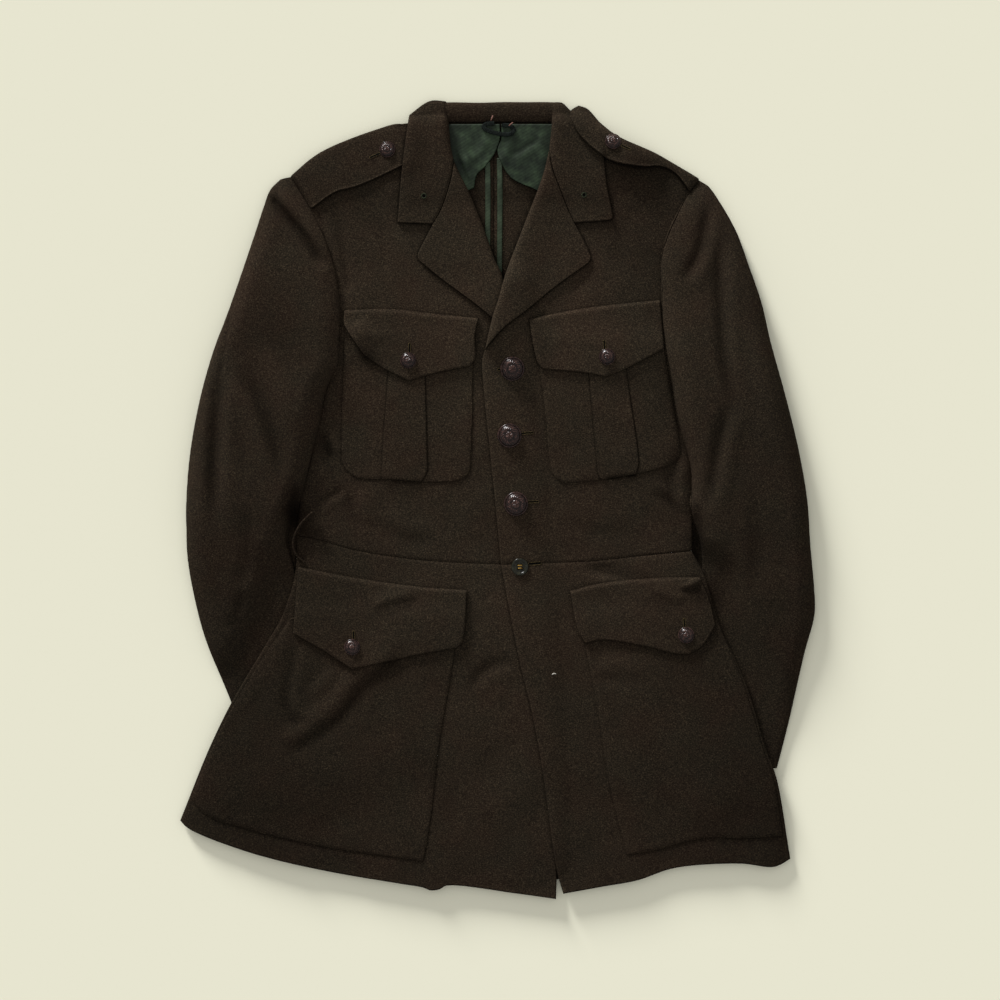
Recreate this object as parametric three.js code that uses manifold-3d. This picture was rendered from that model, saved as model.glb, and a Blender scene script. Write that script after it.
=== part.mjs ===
// A military service jacket of heavy wool, laid flat on its back with the fronts up.
// Millimetres, +Z up. The coat rests on z = 0, the collar points to +Y, and x = 0 is near the centre.
// Left and right are the sides seen from above with the collar at the top.
import * as THREE from "three";
import { mergeVertices } from "three/addons/utils/BufferGeometryUtils.js";
import Module from "manifold-3d";

// Driving sizes
const cloth = 1.8;
const turnedCloth = 2.6;
const liningCloth = 1;
const seamGap = 0.3;
const layerGap = 0.4;
const steepLimit = 1.8;
const fallDepth = 56;
const cuffLift = 7.6;
const drapeReach = 26;
const sleeveFoldRadius = 24;
const bodyFoldRadius = 38;
const pleatHeight = 1.5;
const pressedHollow = 3.2;
const pressedTop = 7.8;

const largeButton = { diameter: 25.4, rim: 2.4, height: 7.4 };
const smallButton = { diameter: 17, rim: 1.8, height: 5.4 };
const flatButton = { diameter: 18, rim: 1.2, height: 3, hole: 2.2, holeReach: 2.5 };

// Small helpers
const clamp = (t) => Math.min(1, Math.max(0, t));
const ease = (t) => clamp(t) ** 2 * (3 - 2 * clamp(t));
const quarterRound = (t) => Math.sqrt(1 - (1 - clamp(t)) ** 2);
const mix = (a, b, t) => a + (b - a) * t;

// A smooth line through [x, y] points, cut into a number of steps or at chosen shares of its length
function line(points, steps) {
  const shares = Array.isArray(steps) ? steps : Array.from({ length: steps + 1 }, (_, i) => i / steps);
  const knots = points.map(([x, y]) => new THREE.Vector3(x, y, 0));
  const curve = new THREE.CatmullRomCurve3(knots, false, "centripetal");
  return shares.map((share) => curve.getPointAt(share)).map((p) => [p.x, p.y]);
}

// Lines that follow each other, with a sharp corner where they meet
const join = (...lines) => lines.flatMap((part, i) => (i === 0 ? part : part.slice(1)));
const shift = (points, dx, dy) => points.map(([x, y]) => [x + dx, y + dy]);

// Value of one column at a place along another, smooth between the rows
function column(rows, at, value) {
  const sorted = [...rows].sort((a, b) => a[at] - b[at]);
  return (place) => {
    const last = sorted.length - 1;
    if (place <= sorted[0][at]) return sorted[0][value];
    if (place >= sorted[last][at]) return sorted[last][value];
    const i = sorted.findIndex((row) => row[at] > place) - 1;
    const slope = (k) => {
      const a = sorted[Math.max(k - 1, 0)];
      const b = sorted[Math.min(k + 1, last)];
      return (b[value] - a[value]) / (b[at] - a[at]);
    };
    const span = sorted[i + 1][at] - sorted[i][at];
    const t = (place - sorted[i][at]) / span;
    const rise = sorted[i + 1][value] - sorted[i][value];
    const bend = slope(i) * span * t * (1 - t) ** 2 - slope(i + 1) * span * t ** 2 * (1 - t);
    return sorted[i][value] + rise * ease(t) + bend;
  };
}

const xAlong = (points) => column(points.map(([x, y]) => ({ x, y })), "y", "x");
const yAlong = (points) => column(points.map(([x, y]) => ({ x, y })), "x", "y");

// Outlines, each point [x, y]
// Armholes and the sides under them, from the shoulder down to the waist
const armholeLeft = [
  [-216.5, 336], [-196, 303], [-181, 273], [-170.5, 242], [-166, 217], [-164.5, 181],
  [-166.5, 138],
];
const sideLeft = [[-166.5, 138], [-178, 117], [-188, 71], [-200.5, 20], [-207, -8], [-209, -38]];
const armholeRight = [
  [210, 332.5], [199.5, 319], [175, 268], [169.5, 239], [171.5, 217], [171, 195], [175, 155],
];
const sideRight = [[175, 155], [181, 122], [188, 83], [196.5, 54], [202, 27], [202, -8], [200, -54]];

// Skirt sides from the waist to the hem
const skirtSideLeft = [
  [-209, -38], [-209, -72], [-224, -120], [-241, -150], [-276, -209], [-301, -260],
  [-331.5, -335],
];
const skirtSideRight = [
  [200, -54], [213, -78], [229, -126], [258, -191], [279, -260], [290, -290], [305, -375],
];

// Shoulders from the neck out
const shoulderLeft = [[-52, 391.5], [-95, 391.5], [-123, 385.5], [-185, 360.5], [-216.5, 336]];
const shoulderRight = [
  [56, 391.5], [84, 391], [108, 384.5], [125, 373], [165, 355], [184, 345.5], [210, 332.5],
];

// Roll lines of the lapels, from the collar to the top button
const rollLeft = [
  [-52, 391.5], [-49, 367], [-41.5, 342], [-29, 317], [-14.5, 281], [-2, 246.5], [5, 232],
  [25, 155],
];
const rollRight = [
  [56, 391.5], [54, 368], [47, 338], [25, 280], [7.5, 233], [0, 206], [-5, 191.5],
  [-13.5, 155],
];

// Front edges from the lapels down to the waist, and on to the hem
const edgeLeft = [[25, 155], [33, 60], [37, 0], [39.5, -68]];
const edgeRight = [[-13.5, 155], [-16.5, 144], [-15.5, 120], [-8.5, 51], [-1, -24], [3, -68]];
const skirtEdgeLeft = [[39.5, -68], [49, -157], [57, -292], [61, -389], [60.5, -416.5]];
const skirtEdgeRight = [
  [3, -68], [22, -167], [36.5, -228], [47, -287], [54, -339], [61.8, -389], [68, -411],
];

const waistLeft = [[-209, -38], [-193, -40.5], [-149, -53], [-79, -63.5], [0, -67.6], [39.5, -68]];
const waistRight = [[3, -68], [47, -66.5], [98, -64.5], [145, -59.5], [200, -54]];
const hemLeft = [
  [-331.5, -335], [-323, -343], [-262, -367], [-181, -387], [-102, -400.5], [-70, -406.5],
  [-54, -402.5], [21, -411], [60.5, -416.5],
];
const hemRight = [
  [68, -411], [109, -403.5], [145, -397], [185, -384], [253, -379.6], [288, -383],
  [305, -375],
];

// Sections across the sleeves: the inner and outer fold, and the height of the crown
const sleeveLeftRows = [
  { innerX: -209.5, innerY: -8, outerX: -325, outerY: -30, crown: 17 },
  { innerX: -219, innerY: -36, outerX: -323.5, outerY: -63, crown: 15 },
  { innerX: -212, innerY: -76, outerX: -316, outerY: -105, crown: 12 },
  { innerX: -190, innerY: -146, outerX: -305, outerY: -146, crown: 10 },
  { innerX: -160, innerY: -213, outerX: -278, outerY: -213, crown: 7 },
  { innerX: -129, innerY: -241, outerX: -257, outerY: -274, crown: 4.5 },
];
const sleeveLeftHead = [
  { outerX: -227, outerY: 333.5, crown: 3 },
  { outerX: -237.5, outerY: 322.5, crown: 6 },
  { outerX: -244.5, outerY: 304, crown: 10 },
  { outerX: -255, outerY: 272, crown: 14 },
  { outerX: -280, outerY: 199, crown: 18 },
  { outerX: -297.5, outerY: 152, crown: 19 },
  { outerX: -311, outerY: 103, crown: 19 },
  { outerX: -321, outerY: 48, crown: 18 },
  { outerX: -325, outerY: -2, crown: 18 },
];
const sleeveRightRows = [
  { innerX: 204, innerY: -8, outerX: 322.6, outerY: -2, crown: 18 },
  { innerX: 209, innerY: -34, outerX: 325.7, outerY: -48, crown: 16 },
  { innerX: 213.6, innerY: -74, outerX: 330, outerY: -97, crown: 14 },
  { innerX: 203, innerY: -116, outerX: 330, outerY: -121, crown: 12 },
  { innerX: 186, innerY: -170, outerX: 319.5, outerY: -161, crown: 9.5 },
  { innerX: 168, innerY: -235, outerX: 303, outerY: -234, crown: 6 },
  { innerX: 160, innerY: -262, outerX: 291, outerY: -281, crown: 4.5 },
];
const sleeveRightHead = [
  { outerX: 219.5, outerY: 326.5, crown: 3 },
  { outerX: 226, outerY: 318, crown: 6 },
  { outerX: 247.5, outerY: 281, crown: 12 },
  { outerX: 262, outerY: 242, crown: 16 },
  { outerX: 275, outerY: 204, crown: 18 },
  { outerX: 284, outerY: 165, crown: 19 },
  { outerX: 301, outerY: 103, crown: 19 },
  { outerX: 314, outerY: 49, crown: 18 },
];

const innerOf = (rows) => rows.map((row) => [row.innerX, row.innerY]);
const innerLeft = [...armholeLeft, ...sideLeft.slice(1, 5), ...innerOf(sleeveLeftRows)];
const innerRight = [...armholeRight, ...sideRight.slice(1, 6), ...innerOf(sleeveRightRows)];
const outerRowsLeft = [...sleeveLeftHead, ...sleeveLeftRows];
const outerRowsRight = [...sleeveRightHead, ...sleeveRightRows];

// Heights
// The height of the body's crown over the backs, from the hem to the neck
const bodyCrown = [
  { y: -417, rise: 1.2 },
  { y: -300, rise: 3.4 },
  { y: -150, rise: 4 },
  { y: -62, rise: 2.6 },
  { y: 50, rise: 6 },
  { y: 150, rise: 8 },
  { y: 250, rise: 7.5 },
  { y: 330, rise: 5 },
  { y: 400, rise: 2.5 },
];
const crownAt = column(bodyCrown, "y", "rise");
const armholeRise = 6.5;

// Largest folds, each a soft ridge (depth above 0) or trough (below 0) from one point to another
const folds = [
  { fromX: -108, fromY: -167, toX: -160, toY: -231, width: 14, depth: -2.6 },
  { fromX: -160, fromY: -231, toX: -225, toY: -272, width: 14, depth: -2.4 },
  { fromX: -120, fromY: -212, toX: -180, toY: -268, width: 16, depth: 2 },
  { fromX: -205, fromY: -150, toX: -205, toY: -220, width: 12, depth: 2.2 },
  { fromX: 92, fromY: -72, toX: 168, toY: -78, width: 9, depth: -1.6 },
  { fromX: 120, fromY: -90, toX: 190, toY: -92, width: 11, depth: 1.4 },
  { fromX: -180, fromY: 66, toX: -172, toY: 40, width: 11, depth: -2.4 },
  { fromX: -192, fromY: 12, toX: -160, toY: 16, width: 10, depth: 2.2 },
  { fromX: -168, fromY: 290, toX: -156, toY: 214, width: 12, depth: -1.8 },
  { fromX: -31, fromY: -195, toX: 20, toY: -170, width: 13, depth: -1.2 },
  { fromX: 98, fromY: -192, toX: 164, toY: -192, width: 14, depth: -1.2 },
];
const sleeveFolds = [
  { fromX: -288, fromY: 150, toX: -293, toY: 4, width: 13, depth: -3.4 },
  { fromX: -268, fromY: 128, toX: -232, toY: 52, width: 12, depth: -2.8 },
  { fromX: -232, fromY: 52, toX: -219, toY: 8, width: 11, depth: -2.4 },
  { fromX: -228, fromY: 305, toX: -179, toY: 236, width: 11, depth: -2.6 },
  { fromX: -262, fromY: -92, toX: -276, toY: -146, width: 10, depth: -1.6 },
  { fromX: 217, fromY: 305, toX: 211, toY: 250, width: 10, depth: -2.6 },
  { fromX: 230, fromY: 270, toX: 236, toY: 130, width: 12, depth: -2.8 },
  { fromX: 236, fromY: 130, toX: 250, toY: 80, width: 12, depth: -2.4 },
  { fromX: 241, fromY: 103, toX: 216, toY: -10, width: 12, depth: -2.6 },
  { fromX: 262, fromY: 190, toX: 286, toY: 40, width: 16, depth: 1.6 },
];

function foldHeight(rows, x, y) {
  let height = 0;
  for (const fold of rows) {
    const alongX = fold.toX - fold.fromX;
    const alongY = fold.toY - fold.fromY;
    const length = Math.hypot(alongX, alongY);
    const place = ((x - fold.fromX) * alongX + (y - fold.fromY) * alongY) / length;
    const away = ((x - fold.fromX) * alongY - (y - fold.fromY) * alongX) / length;
    const beyond = Math.max(0, -place, place - length);
    height += fold.depth * Math.exp(-((away / fold.width) ** 2) - (beyond / (1.4 * fold.width)) ** 2);
  }
  return height;
}

const sideXLeft = xAlong([...armholeLeft, ...sideLeft.slice(1), ...skirtSideLeft.slice(1)]);
const sideXRight = xAlong([...armholeRight, ...sideRight.slice(1), ...skirtSideRight.slice(1)]);
const shoulderYLeft = yAlong(shoulderLeft);
const shoulderYRight = yAlong(shoulderRight);
const hemYLeft = yAlong(hemLeft);
const hemYRight = yAlong(hemRight);
const frontXLeft = xAlong([...rollLeft, ...edgeLeft.slice(1), ...skirtEdgeLeft.slice(1)]);
const rollXLeft = xAlong(rollLeft);
const rollXRight = xAlong(rollRight);

// What each side of the coat needs to know of its sleeve
const leftArm = {
  sign: -1,
  innerX: xAlong(innerLeft),
  outerX: column(outerRowsLeft, "outerY", "outerX"),
  crown: column(outerRowsLeft, "outerY", "crown"),
  skirtX: xAlong(skirtSideLeft),
  cuff: [[-257, -274], [-129, -241]],
  armholeTop: 336,
  armholeFoot: 108,
};
const rightArm = {
  sign: 1,
  innerX: xAlong(innerRight),
  outerX: column(outerRowsRight, "outerY", "outerX"),
  crown: column(outerRowsRight, "outerY", "crown"),
  skirtX: xAlong(skirtSideRight),
  cuff: [[160, -262], [291, -281]],
  armholeTop: 332,
  armholeFoot: 112,
};

function seamRise(arm, y) {
  return armholeRise * ease((y - arm.armholeFoot) / 45) * ease((arm.armholeTop - y) / 60);
}

// How far the skirt is raised over the end of a sleeve, from 0 to 1
function cuffCover(arm, x, y) {
  const [from, to] = arm.cuff;
  const cuffY = mix(from[1], to[1], clamp((x - from[0]) / (to[0] - from[0])));
  const pastInner = arm.sign * (arm.innerX(y) - x);
  const pastOuter = arm.sign * (x - arm.outerX(y));
  const reach = [pastInner, pastOuter, cuffY - y].map((past) => ease(1 - past / drapeReach));
  return ease((-50 - y) / 26) * reach[0] * reach[1] * reach[2];
}

// Undersides of the backs, the fronts and the sleeves, before what lies below them is counted
function backLevel(x, y) {
  const overFall = (cloth + layerGap) * ease((y - 308) / 20) * ease((126 - Math.abs(x)) / 26);
  const overCuff = cuffLift * Math.max(cuffCover(leftArm, x, y), cuffCover(rightArm, x, y));
  const onSleeve = y < -70 ? Math.min(sleeveGround.over(x, y, 28), pressedTop) : 0;
  return Math.max(overFall, overCuff, onSleeve > 0 ? onSleeve + layerGap : 0);
}

function bodyLevel(x, y) {
  const crown = crownAt(y);
  const arm = x < 0 ? leftArm : rightArm;
  const inside = x < 0 ? x - sideXLeft(y) : sideXRight(y) - x;
  const shoulderY = x < 0 ? shoulderYLeft(x) : shoulderYRight(x);
  const hemY = x < 60 ? hemYLeft(x) : hemYRight(x);
  const seam = seamRise(arm, y);
  const across = seam + (crown - seam) * quarterRound(inside / bodyFoldRadius);
  const edges = quarterRound((shoulderY - y) / 30) * mix(0.3, 1, ease((y - hemY) / 60));
  const rise = (across + foldHeight(folds, x, y) * quarterRound(inside / 20)) * edges;
  return backLevel(x, y) + cloth + seamGap + Math.max(0, rise);
}

function sleeveLevel(arm) {
  return (x, y) => {
    const fromInner = arm.sign * (x - arm.innerX(y));
    const fromOuter = arm.sign * (arm.outerX(y) - x);
    const seam = seamRise(arm, y);
    const rounded = seam + (arm.crown(y) - seam) * quarterRound(fromInner / sleeveFoldRadius);
    const free = rounded + foldHeight(sleeveFolds, x, y) * quarterRound(fromInner / 20);
    const underSkirt = ease((arm.sign * (arm.skirtX(y) - x) + 46) / 30) * ease((-40 - y) / 30);
    const pressed = mix(free, Math.min(free, pressedHollow), underSkirt);
    return cloth + seamGap + Math.max(0, pressed) * quarterRound(fromOuter / sleeveFoldRadius);
  };
}

// The height of all that has been laid down so far, on a lattice over the coat
function groundMap() {
  const pitch = 2;
  const reachX = 340;
  const reachY = 430;
  const across = (2 * reachX) / pitch + 1;
  const along = (2 * reachY) / pitch + 1;
  const heights = new Float32Array(across * along);
  const cell = (c, r) => Math.min(along - 1, Math.max(0, r)) * across + Math.min(across - 1, Math.max(0, c));
  const layTriangle = ([ax, ay, az], [bx, by, bz], [cx, cy, cz]) => {
    const area = (bx - ax) * (cy - ay) - (cx - ax) * (by - ay);
    if (Math.abs(area) < 1e-6) return;
    const firstRow = Math.ceil((Math.min(ay, by, cy) + reachY) / pitch);
    const lastRow = Math.floor((Math.max(ay, by, cy) + reachY) / pitch);
    const firstColumn = Math.ceil((Math.min(ax, bx, cx) + reachX) / pitch);
    const lastColumn = Math.floor((Math.max(ax, bx, cx) + reachX) / pitch);
    for (let r = firstRow; r <= lastRow; r += 1) {
      for (let c = firstColumn; c <= lastColumn; c += 1) {
        const x = c * pitch - reachX;
        const y = r * pitch - reachY;
        const s = ((x - ax) * (cy - ay) - (cx - ax) * (y - ay)) / area;
        const t = ((bx - ax) * (y - ay) - (x - ax) * (by - ay)) / area;
        if (s < -1e-6 || t < -1e-6 || s + t > 1 + 1e-6) continue;
        const z = az + s * (bz - az) + t * (cz - az);
        heights[cell(c, r)] = Math.max(heights[cell(c, r)], z);
      }
    }
  };
  return {
    lay(geometry) {
      const { position } = geometry.attributes;
      const corner = (k) => {
        const n = geometry.index.getX(k);
        return [position.getX(n), position.getY(n), position.getZ(n)];
      };
      for (let k = 0; k < geometry.index.count; k += 3) layTriangle(corner(k), corner(k + 1), corner(k + 2));
    },
    over(x, y, reach) {
      let height = 0;
      const firstRow = Math.floor((y - reach + reachY) / pitch);
      const lastRow = Math.ceil((y + reach + reachY) / pitch);
      const firstColumn = Math.floor((x - reach + reachX) / pitch);
      const lastColumn = Math.ceil((x + reach + reachX) / pitch);
      for (let r = firstRow; r <= lastRow; r += 1) {
        for (let c = firstColumn; c <= lastColumn; c += 1) height = Math.max(height, heights[cell(c, r)]);
      }
      return height;
    },
  };
}
const ground = groundMap();
const sleeveGround = groundMap();

// Points of a panel, ruled between four edges of [x, y] points
function panelRows({ top, bottom, left, right, shares }) {
  const across = top.length - 1;
  const along = left.length - 1;
  const share = shares ?? top.map((_, i) => i / across);
  return left.map((leftPoint, j) => {
    const v = j / along;
    return top.map((topPoint, i) => [0, 1].map((k) => {
      const ruled = mix(topPoint[k], bottom[i][k], v) + mix(leftPoint[k], right[j][k], share[i]);
      const upper = mix(top[0][k], top[across][k], share[i]);
      const lower = mix(bottom[0][k], bottom[across][k], share[i]);
      return ruled - mix(upper, lower, v);
    }));
  });
}

// A closed sheet of cloth over rows of points, with its underside at a height worked out for each
function sheet(rows, under, thick, raised = []) {
  const across = rows[0].length - 1;
  const along = rows.length - 1;
  const low = rows.map((row) => row.map(([x, y]) => under(x, y)));
  const slope = (j, i, dj, di) => {
    const [ja, jb] = [Math.max(j - dj, 0), Math.min(j + dj, along)];
    const [ia, ib] = [Math.max(i - di, 0), Math.min(i + di, across)];
    const length = Math.hypot(rows[jb][ib][0] - rows[ja][ia][0], rows[jb][ib][1] - rows[ja][ia][1]);
    return (low[jb][ib] - low[ja][ia]) / Math.max(length, 0.1);
  };
  const positions = [];
  rows.forEach((row, j) => row.forEach(([x, y], i) => {
    const steep = Math.min(steepLimit, Math.hypot(1, slope(j, i, 1, 0), slope(j, i, 0, 1)));
    positions.push(x, y, low[j][i], x, y, low[j][i] + thick * steep + (raised[i] ?? 0));
  }));
  const lower = (i, j) => 2 * (j * (across + 1) + i);
  const upper = (i, j) => lower(i, j) + 1;
  const index = [];
  const quad = (a, b, c, d) => index.push(a, b, c, a, c, d);
  for (let j = 0; j < along; j += 1) {
    for (let i = 0; i < across; i += 1) {
      quad(upper(i, j), upper(i, j + 1), upper(i + 1, j + 1), upper(i + 1, j));
      quad(lower(i, j), lower(i + 1, j), lower(i + 1, j + 1), lower(i, j + 1));
    }
    quad(lower(0, j + 1), upper(0, j + 1), upper(0, j), lower(0, j));
    quad(lower(across, j), upper(across, j), upper(across, j + 1), lower(across, j + 1));
  }
  for (let i = 0; i < across; i += 1) {
    quad(lower(i, 0), upper(i, 0), upper(i + 1, 0), lower(i + 1, 0));
    quad(lower(i + 1, along), upper(i + 1, along), upper(i, along), lower(i, along));
  }
  const geometry = new THREE.BufferGeometry();
  geometry.setAttribute("position", new THREE.Float32BufferAttribute(positions, 3));
  geometry.setIndex(index);
  return geometry;
}

// Booleans on closed solids
const wasm = await Module();
wasm.setup();
function solid(geometry) {
  const clean = geometry.clone();
  clean.deleteAttribute("normal");
  clean.deleteAttribute("uv");
  const merged = mergeVertices(clean, 1e-4);
  const vertProperties = new Float32Array(merged.attributes.position.array);
  const triVerts = new Uint32Array(merged.index.array);
  return new wasm.Manifold(new wasm.Mesh({ numProp: 3, vertProperties, triVerts }));
}

function geometryOf(body) {
  const mesh = body.getMesh();
  const geometry = new THREE.BufferGeometry();
  geometry.setAttribute("position", new THREE.BufferAttribute(mesh.vertProperties, 3));
  geometry.setIndex(new THREE.BufferAttribute(mesh.triVerts, 1));
  return geometry;
}

// Materials
const finish = (color, roughness, metalness = 0) => {
  return () => new THREE.MeshStandardMaterial({ color, roughness, metalness });
};
const wool = finish(0x3d3328, 0.95);
const lining = finish(0x4a5546, 0.6);
const braid = finish(0x1e2520, 0.8);
const buttonShell = finish(0x5a4038, 0.4, 0.2);
const buttonFlat = finish(0x39443f, 0.45);

const group = new THREE.Group();
function add(name, geometry, material) {
  const mesh = new THREE.Mesh(geometry, material);
  mesh.name = name;
  group.add(mesh);
  return mesh;
}

// A sheet that lies on all that has settled below it, or at its own level where that is higher
function drape(edges, options) {
  const { thick = cloth, level = () => 0, extra = () => 0 } = options;
  const { gap = layerGap, reach = 6, raised = [] } = options;
  const under = (x, y) => Math.max(level(x, y), ground.over(x, y, reach) + gap + extra(x, y));
  return sheet(panelRows(edges), under, thick, raised);
}

// Sheets that lie side by side: all are draped, and then they settle together
function layTogether(panels) {
  const made = panels.map(({ edges, ...options }) => drape(edges, options));
  panels.forEach(({ name, material = wool }, i) => add(name, made[i], material()));
  made.forEach((geometry) => ground.lay(geometry));
}

// Edges that neighbours share, cut once so that both sides of a seam match
const cut = {
  armholeLeft: line(armholeLeft, 8),
  sideLeft: line(sideLeft, 6),
  armholeRight: line(armholeRight, 8),
  sideRight: line(sideRight, 6),
  waistLeft: line(waistLeft, 12),
  waistRight: line(waistRight, 10),
};

// Sleeves, an upper and an under piece each, with the hollow of the sleeve between them
function innerFold(armhole, side, below) {
  return join(armhole, side.slice(0, -1), line([side.at(-2), ...below], 9));
}
const between = (a, b, shares) => shares.map((t) => [mix(a[0], b[0], t), mix(a[1], b[1], t)]);
function addSleeve(side, arm, { inner, innerUnder, outer }) {
  const rowsOf = (fold, shares) => {
    const seam = shift(fold, arm.sign * (seamGap + 0.15), 0);
    return outer.map((from, j) => {
      return arm.sign < 0 ? between(from, seam[j], shares) : between(seam[j], from, shares);
    });
  };
  const foldShares = [0, 0.03, 0.09, 0.18, 0.32, 0.5, 0.68, 0.82, 0.91, 0.97, 1];
  const upperPiece = sheet(rowsOf(inner, foldShares), sleeveLevel(arm), cloth);
  sleeveGround.lay(upperPiece);
  add(`sleeve_top_${side}`, upperPiece, wool());
  add(`sleeve_under_${side}`, sheet(rowsOf(innerUnder, [0, 0.33, 0.67, 1]), () => 0, cloth), wool());
}
const innerPoints = (rows) => innerOf(rows.slice(1));
const underLeft = [[-209, -36], [-209.5, -72], ...innerPoints(sleeveLeftRows).slice(2)];
const underRight = [[200.8, -50], [208, -70], ...innerPoints(sleeveRightRows).slice(2)];
addSleeve("left", leftArm, {
  inner: innerFold(cut.armholeLeft, cut.sideLeft, innerPoints(sleeveLeftRows)),
  innerUnder: innerFold(cut.armholeLeft, cut.sideLeft, underLeft),
  outer: line(outerRowsLeft.map((row) => [row.outerX, row.outerY]), 22),
});
addSleeve("right", rightArm, {
  inner: innerFold(cut.armholeRight, cut.sideRight, innerPoints(sleeveRightRows)),
  innerUnder: innerFold(cut.armholeRight, cut.sideRight, underRight),
  outer: line(outerRowsRight.map((row) => [row.outerX, row.outerY]), 22),
});

// Backs, from the neck to the hem, with the centre seam between them
const centreX = -4.5;
const neckY = 392;
const backHemY = -398;
const towardSeam = [0, 0.05, 0.11, 0.18, 0.26, 0.34, 0.42, 0.5, 0.58, 0.68, 0.83, 1];
const fromSeam = towardSeam.map((t) => 1 - t).reverse();
const backSideLeft = [
  [-209, -38], [-208.5, -73], [-223.5, -121], [-275.5, -210], [-300.5, -261], [-329, -333],
];
const backSideRight = [[200, -54], [212.5, -79], [228.5, -127], [257.5, -192], [278.5, -261], [302, -371]];
const backHemLeft = [[-329, -333], [-262, -361], [-181, -381], [-102, -393], [centreX - seamGap, backHemY]];
const backHemRight = [[centreX + seamGap, backHemY], [109, -394], [185, -378], [253, -373], [302, -371]];
const backShoulderLeft = [[-216.5, 336], [-185, 358.5], [-123, 383], [-95, 391], [-50, neckY]];
const backShoulderRight = [[52, neckY], [82, 390], [108, 383], [165, 352], [210, 332.5]];
const backSideRows = 14;
const centreRows = cut.armholeLeft.length + cut.sideLeft.length + backSideRows - 2;
layTogether([
  {
    name: "back_left",
    edges: {
      top: line([...backShoulderLeft, [centreX - seamGap, neckY]], towardSeam),
      left: join(cut.armholeLeft, cut.sideLeft, line(backSideLeft, backSideRows)),
      right: line([[centreX - seamGap, neckY], [centreX - seamGap, backHemY]], centreRows),
      bottom: line(backHemLeft, towardSeam),
      shares: towardSeam,
    },
    level: backLevel,
    gap: 0,
  },
  {
    name: "back_right",
    edges: {
      top: line([[centreX + seamGap, neckY], ...backShoulderRight], fromSeam),
      left: line([[centreX + seamGap, neckY], [centreX + seamGap, backHemY]], centreRows),
      right: join(cut.armholeRight, cut.sideRight, line(backSideRight, backSideRows)),
      bottom: line(backHemRight, fromSeam),
      shares: fromSeam,
    },
    level: backLevel,
    gap: 0,
  },
]);

// Bindings of the centre seam, and the lining that covers their upper ends
const bindings = [
  { name: "binding_left", x: -10.9, fromY: 352, toY: 262 },
  { name: "binding_right", x: 1.6, fromY: 356, toY: 236 },
];
const bindingWidth = 5.6;
layTogether(bindings.map(({ name, x, fromY, toY }) => {
  const [left, right] = [x - bindingWidth / 2, x + bindingWidth / 2];
  return {
    name,
    edges: {
      top: [[left, fromY], [right, fromY]],
      left: line([[left, fromY], [left, toY]], 8),
      right: line([[right, fromY], [right, toY]], 8),
      bottom: [[left, toY], [right, toY]],
    },
    thick: liningCloth,
    material: lining,
  };
}));
const liningLap = [[2, 391], [2, 376.5], [-2.2, 363], [-12.5, 347.5], [-22, 338], [-25, 324.5]];
const liningFall = [
  [3.4, 391], [3.4, 376.5], [-0.6, 363], [4.8, 347.5], [13.5, 335], [25, 328.5],
  [39.5, 323.5],
];
layTogether([
  {
    name: "lining_left",
    edges: {
      top: line([[-66, 391], [2, 391]], 5),
      left: line([[-66, 391], [-66, 310]], 7),
      right: line(liningLap, 7),
      bottom: line([[-66, 310], [-45, 316], [-25, 324.5]], 5),
    },
    thick: liningCloth,
    material: lining,
    reach: 10,
  },
  {
    name: "lining_right",
    edges: {
      top: line([[3.4, 391], [66, 391]], 5),
      left: line(liningFall, 7),
      right: line([[66, 391], [66, 310]], 7),
      bottom: line([[39.5, 323.5], [52, 315], [66, 310]], 5),
    },
    thick: liningCloth,
    material: lining,
    reach: 10,
  },
]);

// The left front, its skirt and its lapel
const hemLeftLine = join(
  line(hemLeft.slice(0, 2), 1),
  line(hemLeft.slice(1, 8), 9),
  line(hemLeft.slice(7), 2),
);
layTogether([
  {
    name: "front_left",
    edges: {
      top: line([...shoulderLeft].reverse(), 12),
      left: join(cut.armholeLeft, cut.sideLeft),
      right: join(line(rollLeft, 9), line(edgeLeft, 5)),
      bottom: cut.waistLeft,
    },
    level: bodyLevel,
    gap: seamGap,
    reach: 11,
  },
  {
    name: "skirt_left",
    edges: {
      top: shift(cut.waistLeft, 0, -seamGap),
      left: shift(line(skirtSideLeft, 12), 0, -seamGap),
      right: shift(line(skirtEdgeLeft, 12), 0, -seamGap),
      bottom: shift(hemLeftLine, 0, -seamGap),
    },
    level: bodyLevel,
    gap: seamGap,
    reach: 11,
  },
]);

// A lapel stands a little off the front along its roll
function rollPuff(rollX, sign) {
  return (x, y) => {
    const fromRoll = sign * (x - rollX(y));
    return 2 * quarterRound(fromRoll / 8) * (1 - ease(fromRoll / 48));
  };
}
const puffLeft = rollPuff(rollXLeft, -1);
const puffRight = rollPuff(rollXRight, 1);

// The lapel and the leaf of the collar above it share the seam that runs out to the notch
const gorgeLeft = line([[-67.6, 286], [-60.3, 298.5], [-54, 315], [-48, 336], [-45.8, 352.5]], 5);
const gorgeRight = line([[53, 363], [56.2, 344], [64.5, 321.5], [72.8, 300.5], [79, 287]], 5);
layTogether([
  {
    name: "lapel_left",
    edges: {
      top: gorgeLeft,
      left: line([[-67.6, 286], [-83, 255.5], [-83.5, 252], [-82.2, 248.6]], 8),
      right: line([
        [-45.8, 352.5], [-41.5, 342], [-29, 317], [-14.5, 281], [-2, 246.5], [5, 232],
        [25, 155],
      ], 8),
      bottom: line([[-82.2, 248.6], [-62.4, 232], [-8.3, 190.3], [25, 155]], 5),
    },
    thick: turnedCloth,
    extra: puffLeft,
    reach: 7,
  },
]);

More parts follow.
